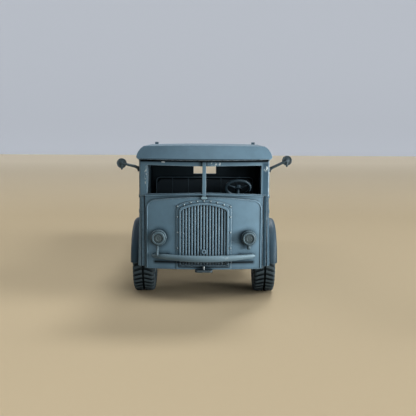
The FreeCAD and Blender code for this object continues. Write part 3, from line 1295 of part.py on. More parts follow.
def build_nodes():
    nodes = {
        "chassis_frame": chassis_frame(),
        "engine_block": engine(),
        "gearbox_and_shaft": gearbox_and_shaft(),
        "radiator": radiator(),
        "front_axle": front_axle(),
        "rear_axle": rear_axle(),
        "nose_panel": nose_panel(),
        "grille": grille(),
        "windscreen_frame": windscreen_frame(),
        "cab_back": cab_back(),
        "cab_floor": cab_floor(),
        "cab_roof": cab_roof(),
        "dashboard": dashboard(),
        "seat_bench": seat(),
        "engine_cover": engine_cover(),
        "steering_wheel": steering_wheel(),
        "bumper": bumper(),
        "tow_pin": tow_pin(),
        "bed_bearers": bed_bearers(),
        "bed_floor": bed_floor(),
        "headboard": headboard(),
        "tailboard": tailboard(),
        "fuel_tank": fuel_tank(),
        "tool_box": tool_box(),
        "spare_wheel": spare_wheel(),
        "tow_eye": tow_eye(),
    }
    front_spring = leaf_spring(FRONT_AXLE_Y, FRONT_SPRING_LENGTH, AXLE_Z + BEAM_HEIGHT / 2)
    rear_spring = leaf_spring(REAR_AXLE_Y, REAR_SPRING_LENGTH, AXLE_Z + AXLE_TUBE_RADIUS)
    bumper_top = BUMPER_Z + BUMPER_HEIGHT
    rear_tyre = tyre(REAR_TYRE_WIDTH)
    twin = (REAR_TYRE_WIDTH + TWIN_GAP) / 2
    rear_pair = Part.makeCompound([placed(rear_tyre, -twin, 0, 0), placed(rear_tyre, twin, 0, 0)])
    pairs = {
        "front_knuckle": front_knuckle(),
        "spring_front": front_spring,
        "spring_rear": rear_spring,
        "cab_side": cab_side(),
        "door": door(),
        "front_fender": front_fender(),
        "cab_step": cab_step(),
        "bed_side": bed_side(),
        "front_tyre": placed(tyre(FRONT_TYRE_WIDTH), FRONT_TRACK_HALF, FRONT_AXLE_Y, AXLE_Z),
        "front_rim": placed(front_rim(), FRONT_TRACK_HALF, FRONT_AXLE_Y, AXLE_Z),
        "rear_tyres": placed(rear_pair, REAR_TWIN_CENTRE_X, REAR_AXLE_Y, AXLE_Z),
        "rear_rims": placed(rear_rim(), REAR_TWIN_CENTRE_X, REAR_AXLE_Y, AXLE_Z),
    }
    for name, shape in pairs.items():
        nodes[name + "_left"] = shape
        nodes[name + "_right"] = mirrored(shape)
    nodes["headlamp_left"] = headlamp(STALK_LUG)
    nodes["headlamp_right"] = mirrored(headlamp(LAMP_Z - LAMP_RADIUS - bumper_top))
    nodes["mirror_left"] = mirror(MIRROR_LEFT_Z)
    nodes["mirror_right"] = mirrored(mirror(MIRROR_RIGHT_Z))
    return nodes


os.makedirs("parts", exist_ok=True)
for node_name, node_shape in build_nodes().items():
    print(node_name, len(node_shape.Solids), round(node_shape.Volume, 3), node_shape.isValid())
    node_shape.exportStep("parts/" + node_name + ".step")
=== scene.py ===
import bpy
import json
import math
from mathutils import Matrix, Vector


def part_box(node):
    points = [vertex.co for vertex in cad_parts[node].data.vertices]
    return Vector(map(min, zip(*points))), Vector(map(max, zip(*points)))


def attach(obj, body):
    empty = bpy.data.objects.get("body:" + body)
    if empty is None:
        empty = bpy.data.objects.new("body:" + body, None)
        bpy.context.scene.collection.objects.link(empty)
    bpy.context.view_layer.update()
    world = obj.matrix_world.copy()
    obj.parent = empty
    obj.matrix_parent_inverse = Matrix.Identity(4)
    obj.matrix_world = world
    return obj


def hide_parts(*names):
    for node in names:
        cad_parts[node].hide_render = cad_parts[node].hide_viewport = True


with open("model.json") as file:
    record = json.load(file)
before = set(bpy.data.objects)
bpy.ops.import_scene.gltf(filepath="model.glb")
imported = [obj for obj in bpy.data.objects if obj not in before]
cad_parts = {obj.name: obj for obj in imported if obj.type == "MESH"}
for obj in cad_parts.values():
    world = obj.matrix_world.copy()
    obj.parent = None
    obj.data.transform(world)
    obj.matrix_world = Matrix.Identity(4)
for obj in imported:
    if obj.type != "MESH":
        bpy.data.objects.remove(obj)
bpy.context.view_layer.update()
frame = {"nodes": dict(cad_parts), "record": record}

# All the lengths below are in millimetres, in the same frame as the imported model.
MM = 0.001

# The camera, fitted to the picture: it stands in front of the truck, a little above roof height.
CAMERA = Vector((0.87, -179.9, 38.06))
CAMERA_PITCH = math.radians(6.99)
CAMERA_ROLL = math.radians(0.3)
CAMERA_NEAR = 1.0
CAMERA_FAR = 10000.0
PICTURE_SIDE = 416
FOCAL_PIXELS = 619.5
SENSOR_MM = 36.0

# The stage
FLOOR_FAR_Y = 845.0
FLOOR_HALF = 1500.0
WALL_Y = 1300.0
WALL_HALF = 1500.0

# Wheels
FRONT_AXLE_Y = -32.5
REAR_AXLE_Y = 21.5
AXLE_Z = 7.0
FRONT_TRACK_HALF = 14.15
REAR_TWIN_X = 11.95
TWIN_HALF = 2.35
FRONT_TYRE_WIDTH = 4.9
REAR_TYRE_WIDTH = 4.2
WHEEL_RADIUS = 7.0
RIM_RADIUS = 4.3
RIM_WALL = 0.45
RIM_INSET = 0.45
GROOVE_HALF = 0.24
LUGS = 36
LUG_HALF = 0.34
LUG_TOP = 0.88
LUG_FOOT = 1.15
DISC_THICKNESS = 0.4
DISC_RADIUS = 2.45
HUB_RADIUS = 1.35
HUB_BORE = 0.85
HAND_HOLES = 8
HAND_HOLE_CIRCLE = 3.2
HAND_HOLE_RADIUS = 0.4
NUTS = 8
NUT_CIRCLE = 2.05

# Nose, lamps, fenders and bumper
NOSE_HALF = 13.1
NOSE_MID_Y = -44.55
NOSE_BOW = 1.2
FIELD_STAND = 0.25
BEAD_HALF = 12.62
BEAD_LOW_Z = 7.85
BEAD_SIDE_Z = 22.9
BEAD_TOP_Z = 23.75
BEAD_ROUND = 1.6
BEAD_RADIUS = 0.2
BEAD_TOP_RADIUS = 0.08
BEAD_SINK = 0.02
FLANGE_HALF = 5.83
FLANGE_STAND = 0.14
FLANGE_RIVET_ROWS = (21.8, 19.5, 16.05, 12.5)
HEAD_RIVETS = 7
HEAD_RIVET_PITCH = 1.45
HEAD_TOP_Z = 23.05
HEAD_ARCH = 0.044
FENDER_CENTRE_Z = 8.4
FENDER_SETBACK = 0.3
LAMP_X = 9.9
LAMP_Z = 14.9
LEFT_LAMP_SIZE = 0.96
RIGHT_LAMP_SIZE = 1.03
RIGHT_LAMP_OUT = 0.1
BUMPER_HALF = 11.4
BUMPER_MID_Y = -47.4
BUMPER_BOW = 2.8
BUMPER_LOW_Z = 9.8
BUMPER_TOP_Z = 11.22
BUMPER_LEVEL_HALF = 3.0
BUMPER_TAPER = 0.45
BUMPER_END = 0.5
BUMPER_END_TRIM = 0.28
BRACKET_X = 8.0
BRACKET_HALF = 0.5
BRACKET_LOW_Z = 10.4
BRACKET_TOP_Z = 11.05

# Cab
CAB_HALF = 14.4
CAB_BACK_Y = -22.0
CAB_FLARE = 0.4
CAB_LOW_Z = 8.15
BELT_Z = 23.98
SIDE_FRONT_Y = -43.0
MIRROR_X = 18.35
MIRROR_Y = -42.0
LEFT_MIRROR_Z = 31.85
RIGHT_MIRROR_Z = 31.1
STEERING_CENTRE = Vector((7.8, -36.2, 25.2))
STEERING_TILT = 42.0
STEERING_RADIUS = 2.8
STEERING_THICKNESS = 0.32
SPOKES = 3
SEAT_HALF = 12.2
SEAT_BACK_Y = -24.3
SEAT_BACK_TOP_Z = 26.8
SEAT_LOW_Z = 20.7
SEAT_SEAMS = (-8.1, -4.1, 0.0, 4.1, 8.1)
CORNER_RIVET_X = 13.75
CORNER_RIVET_ROWS = (22.5, 20.4, 18.3, 16.2, 14.1, 12.0, 9.9)
SEAM_RIVET_X = 12.85
SEAM_SETBACK = 0.27
SEAM_RIVET_ROWS = (21.0, 17.6, 14.2, 10.8)
SIDE_RIVETS = 12
SIDE_RIVET_PITCH = 1.9
SIDE_RIVET_LOW_Z = 9.6
SIDE_RIVET_INSET = 0.6

# Rivet and bolt heads: radius and height
GRILLE_RIVET = (0.22, 0.2)
CORNER_RIVET = (0.13, 0.1)
SEAM_RIVET = (0.12, 0.1)
SIDE_RIVET = (0.12, 0.09)
BOLT_HEAD = (0.15, 0.1)
STRAP_RIVET = (0.13, 0.08)

# Bed, tank, tool box and steps
BED_HALF = 15.7
BED_FRONT_Y = -19.8
BED_REAR_Y = 46.9
BED_BOARD = 0.7
BED_LOW_Z = 15.2
PLANKS = 3
PLANK = 2.2
IRON_STAND = 0.35
SIDE_IRONS = 4
TAIL_IRONS = 3
BOLT_SPREAD = 0.55
HINGE_Z = 15.3
HINGE_HALF = 0.75
HINGE_RADIUS = 0.22
STRAP_LENGTH = 1.7
STRAP_HEIGHT = 0.55
STRAP_ROWS = (16.6, 20.2)
LATCH_LOW_Z = 19.5
TANK_LOW = (7.2, -13.5, 7.0)
TANK_HIGH = (13.6, -4.5, 12.0)
TANK_BEVEL = 1.0
TANK_STRAPS = (-11.9, -6.1)
TANK_STRAP_HALF = 0.28
BOX_OUTER_X = -13.2
BOX_LATCHES = (-11.7, -7.3)
BOX_HANDLE_Y = -9.5
STEP_TOP_Z = 7.5
STEP_FRONT_Y = -22.7
STEP_BACK_Y = -17.3
STEP_RIBS = (14.9, 15.4, 15.9, 16.4)

UP = Vector((0, 0, 1))
AHEAD = Vector((0, -1, 0))
SIDEWAYS = Vector((1, 0, 0))

# The radius at which a turned form closes on its axis
ON_AXIS = 0.0001


def srgb(red, green, blue):
    # A colour as seen on screen, 0 to 255, turned into the linear values that shaders use.
    channels = []
    for value in (red, green, blue):
        share = value / 255
        channels.append(share / 12.92 if share <= 0.04045 else ((share + 0.055) / 1.055) ** 2.4)
    return (*channels, 1.0)


# Forms: each is a pair of corners and faces, in millimetres


def join(forms):
    points = []
    faces = []
    for some_points, some_faces in forms:
        shift = len(points)
        points += some_points
        faces += [tuple(index + shift for index in face) for face in some_faces]
    return points, faces


def moved(form, place):
    return [point + Vector(place) for point in form[0]], form[1]


def turned(form, axis, degrees):
    turn = Matrix.Rotation(math.radians(degrees), 3, axis)
    return [turn @ point for point in form[0]], form[1]


def aimed(form, direction):
    # Turns a form made along X to lie along another direction.
    turn = SIDEWAYS.rotation_difference(Vector(direction)).to_matrix()
    return [turn @ point for point in form[0]], form[1]


def mirrored(form):
    return [Vector((-p.x, p.y, p.z)) for p in form[0]], [tuple(reversed(face)) for face in form[1]]


def loops_form(loops, closed_around=True, closed_along=False, caps=False):
    # Quads strung between rows of points.
    points = [point for loop in loops for point in loop]
    size = len(loops[0])
    rows = len(loops)
    faces = []
    for row in range(rows if closed_along else rows - 1):
        here = row * size
        there = (row + 1) % rows * size
        for index in range(size if closed_around else size - 1):
            after = (index + 1) % size
            faces.append((here + index, here + after, there + after, there + index))
    if caps:
        faces.append(tuple(reversed(range(size))))
        faces.append(tuple(range((rows - 1) * size, rows * size)))
    return points, faces


def lathe(profile, sides, start=0.0, sweep=360.0, closed=False):
    # A turned form round the X axis, from (x, radius) points; angle 0 points straight down.
    whole = sweep >= 360.0
    count = sides if whole else sides + 1
    loops = []
    for step in range(count):
        angle = math.radians(start + sweep * step / sides)
        loops.append([Vector((x, r * math.sin(angle), -r * math.cos(angle))) for x, r in profile])
    return loops_form(loops, closed_around=closed, closed_along=whole, caps=closed and not whole)


def bar(x0, x1, y0, y1, z0, z1):
    points = [Vector((x, y, z)) for x in (x0, x1) for y in (y0, y1) for z in (z0, z1)]
    faces = [(0, 1, 3, 2), (4, 6, 7, 5), (0, 4, 5, 1), (2, 3, 7, 6), (0, 2, 6, 4), (1, 5, 7, 3)]
    return points, faces


def tube(path, radii, sides=10):
    # A round bar through a row of points, with its own radius at each.
    path = [Vector(point) for point in path]
    loops = []
    for index, point in enumerate(path):
        run = path[min(index + 1, len(path) - 1)] - path[max(index - 1, 0)]
        turn = SIDEWAYS.rotation_difference(run.normalized()).to_matrix()
        loop = []
        for step in range(sides):
            angle = 2 * math.pi * step / sides
            loop.append(point + turn @ Vector((0, math.sin(angle), math.cos(angle))) * radii[index])
        loops.append(loop)
    return loops_form(loops, caps=True)


def dome(radius, height, sides=10):
    # A rivet head along X, standing on the plane x = 0 with a little sunk into it.
    profile = [
        (-height, radius),
        (0.0, radius),
        (0.55 * height, 0.85 * radius),
        (0.9 * height, 0.5 * radius),
        (height, ON_AXIS),
    ]
    return lathe(profile, sides)


def pin(start, end, radius, sides=10):
    # A straight round bar between two points.
    middle = (Vector(start) + Vector(end)) / 2
    return tube([start, middle, end], [radius, radius, radius], sides)


def bow_y(x, half, mid_y, bow):
    radius = (half * half + bow * bow) / (2 * bow)
    return mid_y + radius - math.sqrt(radius * radius - x * x)


def field_y(x):
    return bow_y(x, NOSE_HALF, NOSE_MID_Y - FIELD_STAND, NOSE_BOW)


def piece(name, form, material, body="truck", replaces=(), sharp=35.0):
    # Makes the mesh object, shades it and puts it on its body.
    mesh = bpy.data.meshes.new(name)
    mesh.from_pydata([point * MM for point in form[0]], [], form[1])
    mesh.validate()
    mesh.polygons.foreach_set("use_smooth", [True] * len(mesh.polygons))
    mesh.set_sharp_from_angle(angle=math.radians(sharp))
    item = bpy.data.objects.new(name, mesh)
    bpy.context.scene.collection.objects.link(item)
    item.data.materials.append(material)
    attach(item, body)
    if replaces:
        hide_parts(*replaces)


# Materials: noise scales are per metre, the other lengths in millimetres

MOTTLE_SCALE = 420.0
MOTTLE_DULL = 0.72
EDGE_PATCH_SCALE = 900.0
SCRATCH_SCALE = 2200.0
GRAIN_SCALE = 6000.0
GRAIN_STRENGTH = 0.35
GRAIN_DEPTH = 0.02
EDGE_RADIUS = 0.17
HOLLOW_REACH = 1.3
HOLLOW_SHUT = 0.42
HOLLOW_OPEN = 0.95
HOLLOW_SHADE = 0.92
HOLLOW_GLOSS = 0.08
PATCH_GLOSS = 0.1
PLASTIC_IOR = 1.5
SHEEN_TINT = (0.8, 0.93, 1.0, 1.0)

# Each plastic has its own colour, then that of its recesses, which is painted shade, and that of its edges,
# which is partly wear and partly a painted highlight
BODY = (srgb(94, 123, 140), srgb(9, 13, 16), srgb(198, 218, 228))
CHASSIS = (srgb(74, 91, 101), srgb(16, 20, 23), srgb(118, 137, 148))
# The tyres are of the body's plastic; their darker colour is painted shade.
TYRE = (srgb(64, 77, 82), srgb(16, 19, 20), srgb(92, 108, 115))
# The inside is of the body's plastic; its darker colour is painted shade.
INSIDE = (srgb(36, 45, 51), srgb(8, 10, 12), srgb(74, 90, 100))
# The fenders are of the body's plastic; their darker colour is painted shade.
FENDER = (srgb(44, 64, 76), srgb(13, 17, 20), srgb(96, 118, 130))
# The bumper is of the body's plastic; its paler colour is painted light.
BUMPER = (srgb(109, 133, 144), srgb(9, 13, 16), srgb(206, 222, 230))
LAMP = (srgb(76, 97, 106), srgb(12, 15, 18), srgb(160, 180, 188))
LENS = (srgb(66, 80, 84), srgb(12, 15, 18), srgb(150, 168, 174))
# The rivet heads are of the body's plastic; their pale colour is a painted highlight.
RIVET = (srgb(150, 168, 174), srgb(70, 84, 90), srgb(206, 218, 220))
# The tow jaw and the mirrors are of the body's plastic; their darker colour is painted shade.
JAW = (srgb(56, 70, 76), srgb(12, 15, 17), srgb(140, 156, 160))
STEERING = (srgb(80, 102, 115), srgb(30, 40, 47), srgb(118, 138, 150))
# The radiator behind the grille is near black: painted shade.
BLACK = (srgb(13, 15, 17), srgb(8, 9, 10), srgb(24, 28, 31))

# Patches of colour lie in boxes, each with its low and high corner, its soft border and its colour; on the
# body they are painted shade, painted shadow and a painted highlight, on the bed dark seams
# Painted shade: the inside of the cab near black.
CAB_INSIDE_PAINTED_SHADE = ((-13.62, -42.0, 15.0), (13.62, -22.75, 34.4), 0.06, srgb(10, 12, 14))
# Painted shadow of the bumper on the nose below it.
UNDER_BUMPER_PAINTED_SHADOW = ((-11.2, -46.4, 8.95), (11.2, -43.0, 9.65), 0.3, srgb(18, 23, 26))
# Painted shade on the low flange below the bumper.
LOW_FLANGE_PAINTED_SHADE = ((-5.75, -46.4, 8.1), (5.75, -43.6, 8.95), 0.12, srgb(52, 68, 77))
# Painted shadow of the roof's visor on the top of the windscreen header.
HEADER_PAINTED_SHADOW = ((-14.2, -46.4, 31.5), (14.2, -42.6, 32.2), 0.16, srgb(12, 15, 17))
# Painted shade on the right front corner of the cab.
RIGHT_CORNER_PAINTED_SHADE = ((12.85, -44.2, 7.0), (14.8, -41.6, 31.4), 0.25, srgb(56, 79, 93))
# Painted highlight on the knob in the middle, above the nose.
KNOB_PAINTED_HIGHLIGHT = ((-0.75, -46.5, 23.5), (0.75, -44.6, 24.15), 0.08, srgb(124, 152, 162))
PAINTED_LIGHT_AND_SHADE = [CAB_INSIDE_PAINTED_SHADE, UNDER_BUMPER_PAINTED_SHADOW, LOW_FLANGE_PAINTED_SHADE, HEADER_PAINTED_SHADOW, RIGHT_CORNER_PAINTED_SHADE, KNOB_PAINTED_HIGHLIGHT]
SEAM_COLOUR = srgb(14, 18, 21)
BED_SEAMS = [
    ((-15.03, -19.83, 17.34), (15.03, 46.23, 17.46), 0.02, SEAM_COLOUR),
    ((-15.03, -19.83, 19.54), (15.03, 46.23, 19.66), 0.02, SEAM_COLOUR),
    ((-15.03, -19.83, 22.44), (15.03, -19.77, 22.56), 0.02, SEAM_COLOUR),
]

# Pale scuffs lie in ellipsoids, each with its centre, its half sizes and its strength
SCUFF_COLOUR = srgb(200, 208, 208)
SCUFFS = [
    ((-9.1, -43.5, 31.45), (0.7, 2.0, 0.22), 0.9),
    ((2.5, -44.5, 31.1), (1.9, 2.0, 0.42), 0.9),
    ((13.6, -43.0, 30.1), (0.6, 2.0, 0.8), 0.9),
    ((-12.9, -43.0, 28.2), (0.35, 2.0, 2.6), 0.9),
]
BUMPER_SCUFFS = [((4.6, -47.0, 10.7), (1.6, 1.5, 0.4), 0.3)]
JAW_SCUFFS = [((-0.2, -45.6, 8.3), (0.9, 1.2, 0.6), 0.9)]

# The stage and the sky; the floor grows paler between these distances behind the truck, in metres
FLOOR_COLOUR = srgb(196, 179, 148)
FAR_FLOOR = srgb(240, 228, 206)
FADE_FROM = 0.1
FADE_TO = 0.6
BOUNCE_COLOUR = srgb(120, 118, 112)
WALL_COLOUR = srgb(186, 190, 198)
WALL_GLOW = 0.53
STAGE_MOTTLE = 0.93
FLOOR_MOTTLE_SCALE = 9.0
WALL_MOTTLE_SCALE = 3.0
SKY_LIGHT = (0.9, 0.96, 1.0, 1.0)
SKY_STRENGTH = 0.08


def node(tree, kind, **values):
    item = tree.nodes.new(kind)
    for key, value in values.items():
        setattr(item, key, value)
    return item


def ranged(tree, source, from_min, from_max, to_min, to_max):
    item = node(tree, "ShaderNodeMapRange")
    item.inputs["From Min"].default_value = from_min
    item.inputs["From Max"].default_value = from_max
    item.inputs["To Min"].default_value = to_min
    item.inputs["To Max"].default_value = to_max
    tree.links.new(source, item.inputs["Value"])
    return item.outputs["Result"]


def noise(tree, place, scale, detail):
    item = node(tree, "ShaderNodeTexNoise")
    item.inputs["Scale"].default_value = scale
    item.inputs["Detail"].default_value = detail
    tree.links.new(place, item.inputs["Vector"])
    return item.outputs["Fac"]


def times(tree, first, second):
    item = node(tree, "ShaderNodeMath", operation="MULTIPLY")
    tree.links.new(first, item.inputs[0])
    tree.links.new(second, item.inputs[1])
    return item.outputs["Value"]


def mixed(tree, base, colour, share):
    # The base with a colour laid over it; the base is a colour or another node's output.
    item = node(tree, "ShaderNodeMix", data_type="RGBA")
    if isinstance(base, tuple):
        item.inputs["A"].default_value = base
    else:
        tree.links.new(base, item.inputs["A"])
    item.inputs["B"].default_value = colour
    tree.links.new(share, item.inputs["Factor"])
    return item.outputs["Result"]


def near(tree, place, centre, size):
    # 1 at a place on the model, falling to 0 at the edge of an ellipsoid round it.
    mapping = node(tree, "ShaderNodeMapping", vector_type="TEXTURE")
    mapping.inputs["Location"].default_value = [value * MM for value in centre]
    mapping.inputs["Scale"].default_value = [value * MM for value in size]
    tree.links.new(place, mapping.inputs["Vector"])
    length = node(tree, "ShaderNodeVectorMath", operation="LENGTH")
    tree.links.new(mapping.outputs["Vector"], length.inputs[0])
    return ranged(tree, length.outputs["Value"], 1.0, 0.6, 0.0, 1.0)


def worn_and_highlit_edge_share(tree, place, rounded, open_share, worn_and_highlit):
    # 1 on the sharp outer edges, broken up unevenly and left out in hollows; the paler edge colour is partly
    # wear and partly a painted highlight.
    flat = node(tree, "ShaderNodeNewGeometry")
    facing = node(tree, "ShaderNodeVectorMath", operation="DOT_PRODUCT")
    tree.links.new(rounded, facing.inputs[0])
    tree.links.new(flat.outputs["Normal"], facing.inputs[1])
    edges = ranged(tree, facing.outputs["Value"], 0.99, 0.85, 0.0, worn_and_highlit)
    edge_patches = ranged(tree, noise(tree, place, EDGE_PATCH_SCALE, 3.0), 0.35, 0.65, 0.45, 1.0)
    open_air = ranged(tree, open_share, 0.7, 0.9, 0.0, 1.0)
    return times(tree, times(tree, edges, edge_patches), open_air)


def add_grain(tree, shader, place, rounded, roughness):
    # A fine grain in the relief and in the roughness.
    fine = noise(tree, place, GRAIN_SCALE, 4.0)
    bump = node(tree, "ShaderNodeBump")
    bump.inputs["Strength"].default_value = GRAIN_STRENGTH
    bump.inputs["Distance"].default_value = GRAIN_DEPTH * MM
    tree.links.new(fine, bump.inputs["Height"])
    tree.links.new(rounded, bump.inputs["Normal"])
    tree.links.new(bump.outputs["Normal"], shader.inputs["Normal"])
    uneven = ranged(tree, fine, 0.0, 1.0, roughness - 0.08, roughness + 0.1)
    tree.links.new(uneven, shader.inputs["Roughness"])


def plastic(name, colour, dark, edge, roughness=0.46, worn_and_highlit=0.7, sheen=0.5, scuffs=(), seams_and_painted_light=()):
    # Moulded model plastic: mottled colour, painted shade in recesses, boxed patches of colour, paler edges
    # that are partly wear and partly a painted highlight, scuffs and a fine grain.
    material = bpy.data.materials.new(name)
    material.use_nodes = True
    tree = material.node_tree
    shader = tree.nodes["Principled BSDF"]
    place = node(tree, "ShaderNodeTexCoord").outputs["Object"]
    hollow = node(tree, "ShaderNodeAmbientOcclusion", samples=8)
    hollow.inputs["Distance"].default_value = HOLLOW_REACH * MM
    open_share = hollow.outputs["AO"]
    bevel = node(tree, "ShaderNodeBevel", samples=6)
    bevel.inputs["Radius"].default_value = EDGE_RADIUS * MM
    rounded = bevel.outputs["Normal"]

    duller = tuple(MOTTLE_DULL * channel for channel in colour[:3]) + (1.0,)
    mottle = ranged(tree, noise(tree, place, MOTTLE_SCALE, 5.0), 0.3, 0.7, 0.0, 0.6)
    base = mixed(tree, colour, duller, mottle)
    gloss = ranged(tree, open_share, HOLLOW_SHUT, HOLLOW_OPEN, HOLLOW_GLOSS, sheen)
    # Boxed patches: painted shade, painted shadow and a painted highlight on the body, dark seams on the bed;
    # each also dulls the sheen.
    for low, high, border, tint in seams_and_painted_light:
        share = near_box(tree, place, low, high, border)
        base = mixed(tree, base, tint, share)
        gloss = times(tree, gloss, ranged(tree, share, 0.0, 1.0, 1.0, PATCH_GLOSS))
    # Painted shade: the colour goes towards the recess colour where the ambient occlusion finds a hollow or
    # groove.
    base = mixed(tree, base, dark, ranged(tree, open_share, HOLLOW_SHUT, HOLLOW_OPEN, HOLLOW_SHADE, 0.0))
    # Paler edges: partly wear, partly a painted highlight.
    base = mixed(tree, base, edge, worn_and_highlit_edge_share(tree, place, rounded, open_share, worn_and_highlit))
    for centre, size, strength in scuffs:
        scratch = ranged(tree, noise(tree, place, SCRATCH_SCALE, 6.0), 0.52, 0.6, 0.0, strength)
        base = mixed(tree, base, SCUFF_COLOUR, times(tree, near(tree, place, centre, size), scratch))

    tree.links.new(base, shader.inputs["Base Color"])
    tree.links.new(gloss, shader.inputs["Specular IOR Level"])
    add_grain(tree, shader, place, rounded, roughness)
    shader.inputs["IOR"].default_value = PLASTIC_IOR
    shader.inputs["Specular Tint"].default_value = SHEEN_TINT
    return material


def near_box(tree, place, low, high, border):
    # 1 inside a box on the model and 0 outside it, with a soft border.
    apart = node(tree, "ShaderNodeSeparateXYZ")
    tree.links.new(place, apart.inputs["Vector"])
    share = None
    for axis, name in enumerate("XYZ"):
        middle = (low[axis] + high[axis]) / 2 * MM
        half = (high[axis] - low[axis]) / 2 * MM
        shift = node(tree, "ShaderNodeMath", operation="SUBTRACT")
        tree.links.new(apart.outputs[name], shift.inputs[0])
        shift.inputs[1].default_value = middle
        size = node(tree, "ShaderNodeMath", operation="ABSOLUTE")
        tree.links.new(shift.outputs["Value"], size.inputs[0])
        part = ranged(tree, size.outputs["Value"], half + border * MM, half - border * MM, 0.0, 1.0)
        share = times(tree, share, part) if share else part
    return share


def seen_rays(tree):
    # 1 for a ray from the camera, a shiny surface or glass, and 0 for one that only carries light.
    ray = node(tree, "ShaderNodeLightPath")
    seen = ray.outputs["Is Camera Ray"]
    for kind in ("Is Glossy Ray", "Is Transmission Ray"):
        larger = node(tree, "ShaderNodeMath", operation="MAXIMUM")
        tree.links.new(seen, larger.inputs[0])
        tree.links.new(ray.outputs[kind], larger.inputs[1])
        seen = larger.outputs["Value"]
    return seen


def stage_material(name, colour, far_colour, bounce, scale, glow=0.0):
    # A plain matte surface with a faint mottle and a paler distance; it bounces less light than it shows.
    material = bpy.data.materials.new(name)
    material.use_nodes = True
    tree = material.node_tree
    shader = tree.nodes["Principled BSDF"]
    place = node(tree, "ShaderNodeTexCoord").outputs["Object"]
    deeper = tuple(STAGE_MOTTLE * channel for channel in colour[:3]) + (1.0,)
    shown = mixed(tree, colour, deeper, noise(tree, place, scale, 2.0))
    apart = node(tree, "ShaderNodeSeparateXYZ")
    tree.links.new(place, apart.inputs["Vector"])
    shown = mixed(tree, shown, far_colour, ranged(tree, apart.outputs["Y"], FADE_FROM, FADE_TO, 0.0, 1.0))
    seen = seen_rays(tree)
    switch = node(tree, "ShaderNodeMix", data_type="RGBA")
    switch.inputs["A"].default_value = bounce
    tree.links.new(seen, switch.inputs["Factor"])
    tree.links.new(shown, switch.inputs["B"])
    tree.links.new(switch.outputs["Result"], shader.inputs["Base Color"])
    if glow:
        tree.links.new(shown, shader.inputs["Emission Color"])
        tree.links.new(ranged(tree, seen, 0.0, 1.0, 0.0, glow), shader.inputs["Emission Strength"])
    shader.inputs["Roughness"].default_value = 0.85
    shader.inputs["Specular IOR Level"].default_value = 0.2
    return material


# Wheels


def tyre_ring(half):
    # The closed ring with rounded walls and a groove round its middle.
    side = [
        (half - 0.45, RIM_RADIUS - 0.1),
        (half - 0.42, RIM_RADIUS + 0.12),
        (half - 0.2, 4.8),
        (half - 0.14, 4.92),
        (half - 0.04, 5.3),
        (half - 0.02, 5.65),
        (half - 0.08, 6.1),
        (half - 0.2, 6.42),
        (half - 0.45, 6.56),
        (GROOVE_HALF, 6.6),
        (GROOVE_HALF - 0.06, 6.3),
    ]
    profile = side + [(-x, r) for x, r in reversed(side)]
    return lathe(profile, 2 * LUGS, closed=True)


def tyre_lug(half):
    # One slanted lug, which wraps over the shoulder and down the wall.
    # Each station has the x and radius of its top and of its foot, and its lean round the wheel
    stations = [
        (GROOVE_HALF, WHEEL_RADIUS, GROOVE_HALF, 6.45, -0.32),
        (0.55 * half, WHEEL_RADIUS, 0.5 * half, 6.45, 0.0),
        (half - 0.5, 6.95, half - 0.6, 6.4, 0.26),
        (half - 0.2, 6.74, half - 0.45, 6.35, 0.33),
        (half - 0.04, 6.3, half - 0.35, 6.0, 0.34),
        (half - 0.02, 6.0, half - 0.3, 5.9, 0.34),
    ]
    loops = []
    for x, r, low_x, low_r, lean in stations:
        top = [(x, r, LUG_TOP), (x, r, -LUG_TOP)]
        foot = [(low_x, low_r, -LUG_FOOT), (low_x, low_r, LUG_FOOT)]
        loop = []
        for px, pr, wide in top + foot:
            angle = (lean + wide * LUG_HALF) / WHEEL_RADIUS
            loop.append(Vector((px, pr * math.sin(angle), -pr * math.cos(angle))))
        loops.append(loop)
    return loops_form(loops, caps=True)


def tyre_form(width):
    # The ring and two rows of lugs, one the mirror of the other.
    half = width / 2
    lug = tyre_lug(half)
    forms = [tyre_ring(half)]
    for index in range(LUGS):
        forms.append(turned(lug, "X", 360 * index / LUGS))
        forms.append(turned(mirrored(lug), "X", 360 * index / LUGS))
    return join(forms)


def holed_band(inner, inner_x, outer, outer_x, thickness, count, hole_circle, hole_radius):
    # A cone of sheet between two radii, with round hand holes through it.
    steps = 24
    middle = (inner + outer) / 2
    reach = (outer - inner) / 2
    forms = []
    for sector in range(count):
        centre_angle = 2 * math.pi * sector / count
        borders = []
        for step in range(steps):
            turn = 2 * math.pi * step / steps
            grow = 1 / max(abs(math.cos(turn)), abs(math.sin(turn)))
            edge_angle = math.cos(turn) * grow * math.pi / count
            edge_radius = middle + math.sin(turn) * grow * reach
            hole_r = hole_circle + math.sin(turn) * hole_radius
            hole_angle = math.cos(turn) * hole_radius / hole_circle
            borders.append(((edge_angle, edge_radius), (hole_angle, hole_r)))
        loops = []
        for depth, which in ((0, 0), (0, 1), (thickness, 1), (thickness, 0)):
            loop = []
            for border in borders:
                angle, radius = border[which]
                x = inner_x + (outer_x - inner_x) * (radius - inner) / (outer - inner) - depth
                turn = centre_angle + angle
                loop.append(Vector((x, radius * math.sin(turn), -radius * math.cos(turn))))
            loops.append(loop)
        forms.append(loops_form(loops))
    return join(forms)


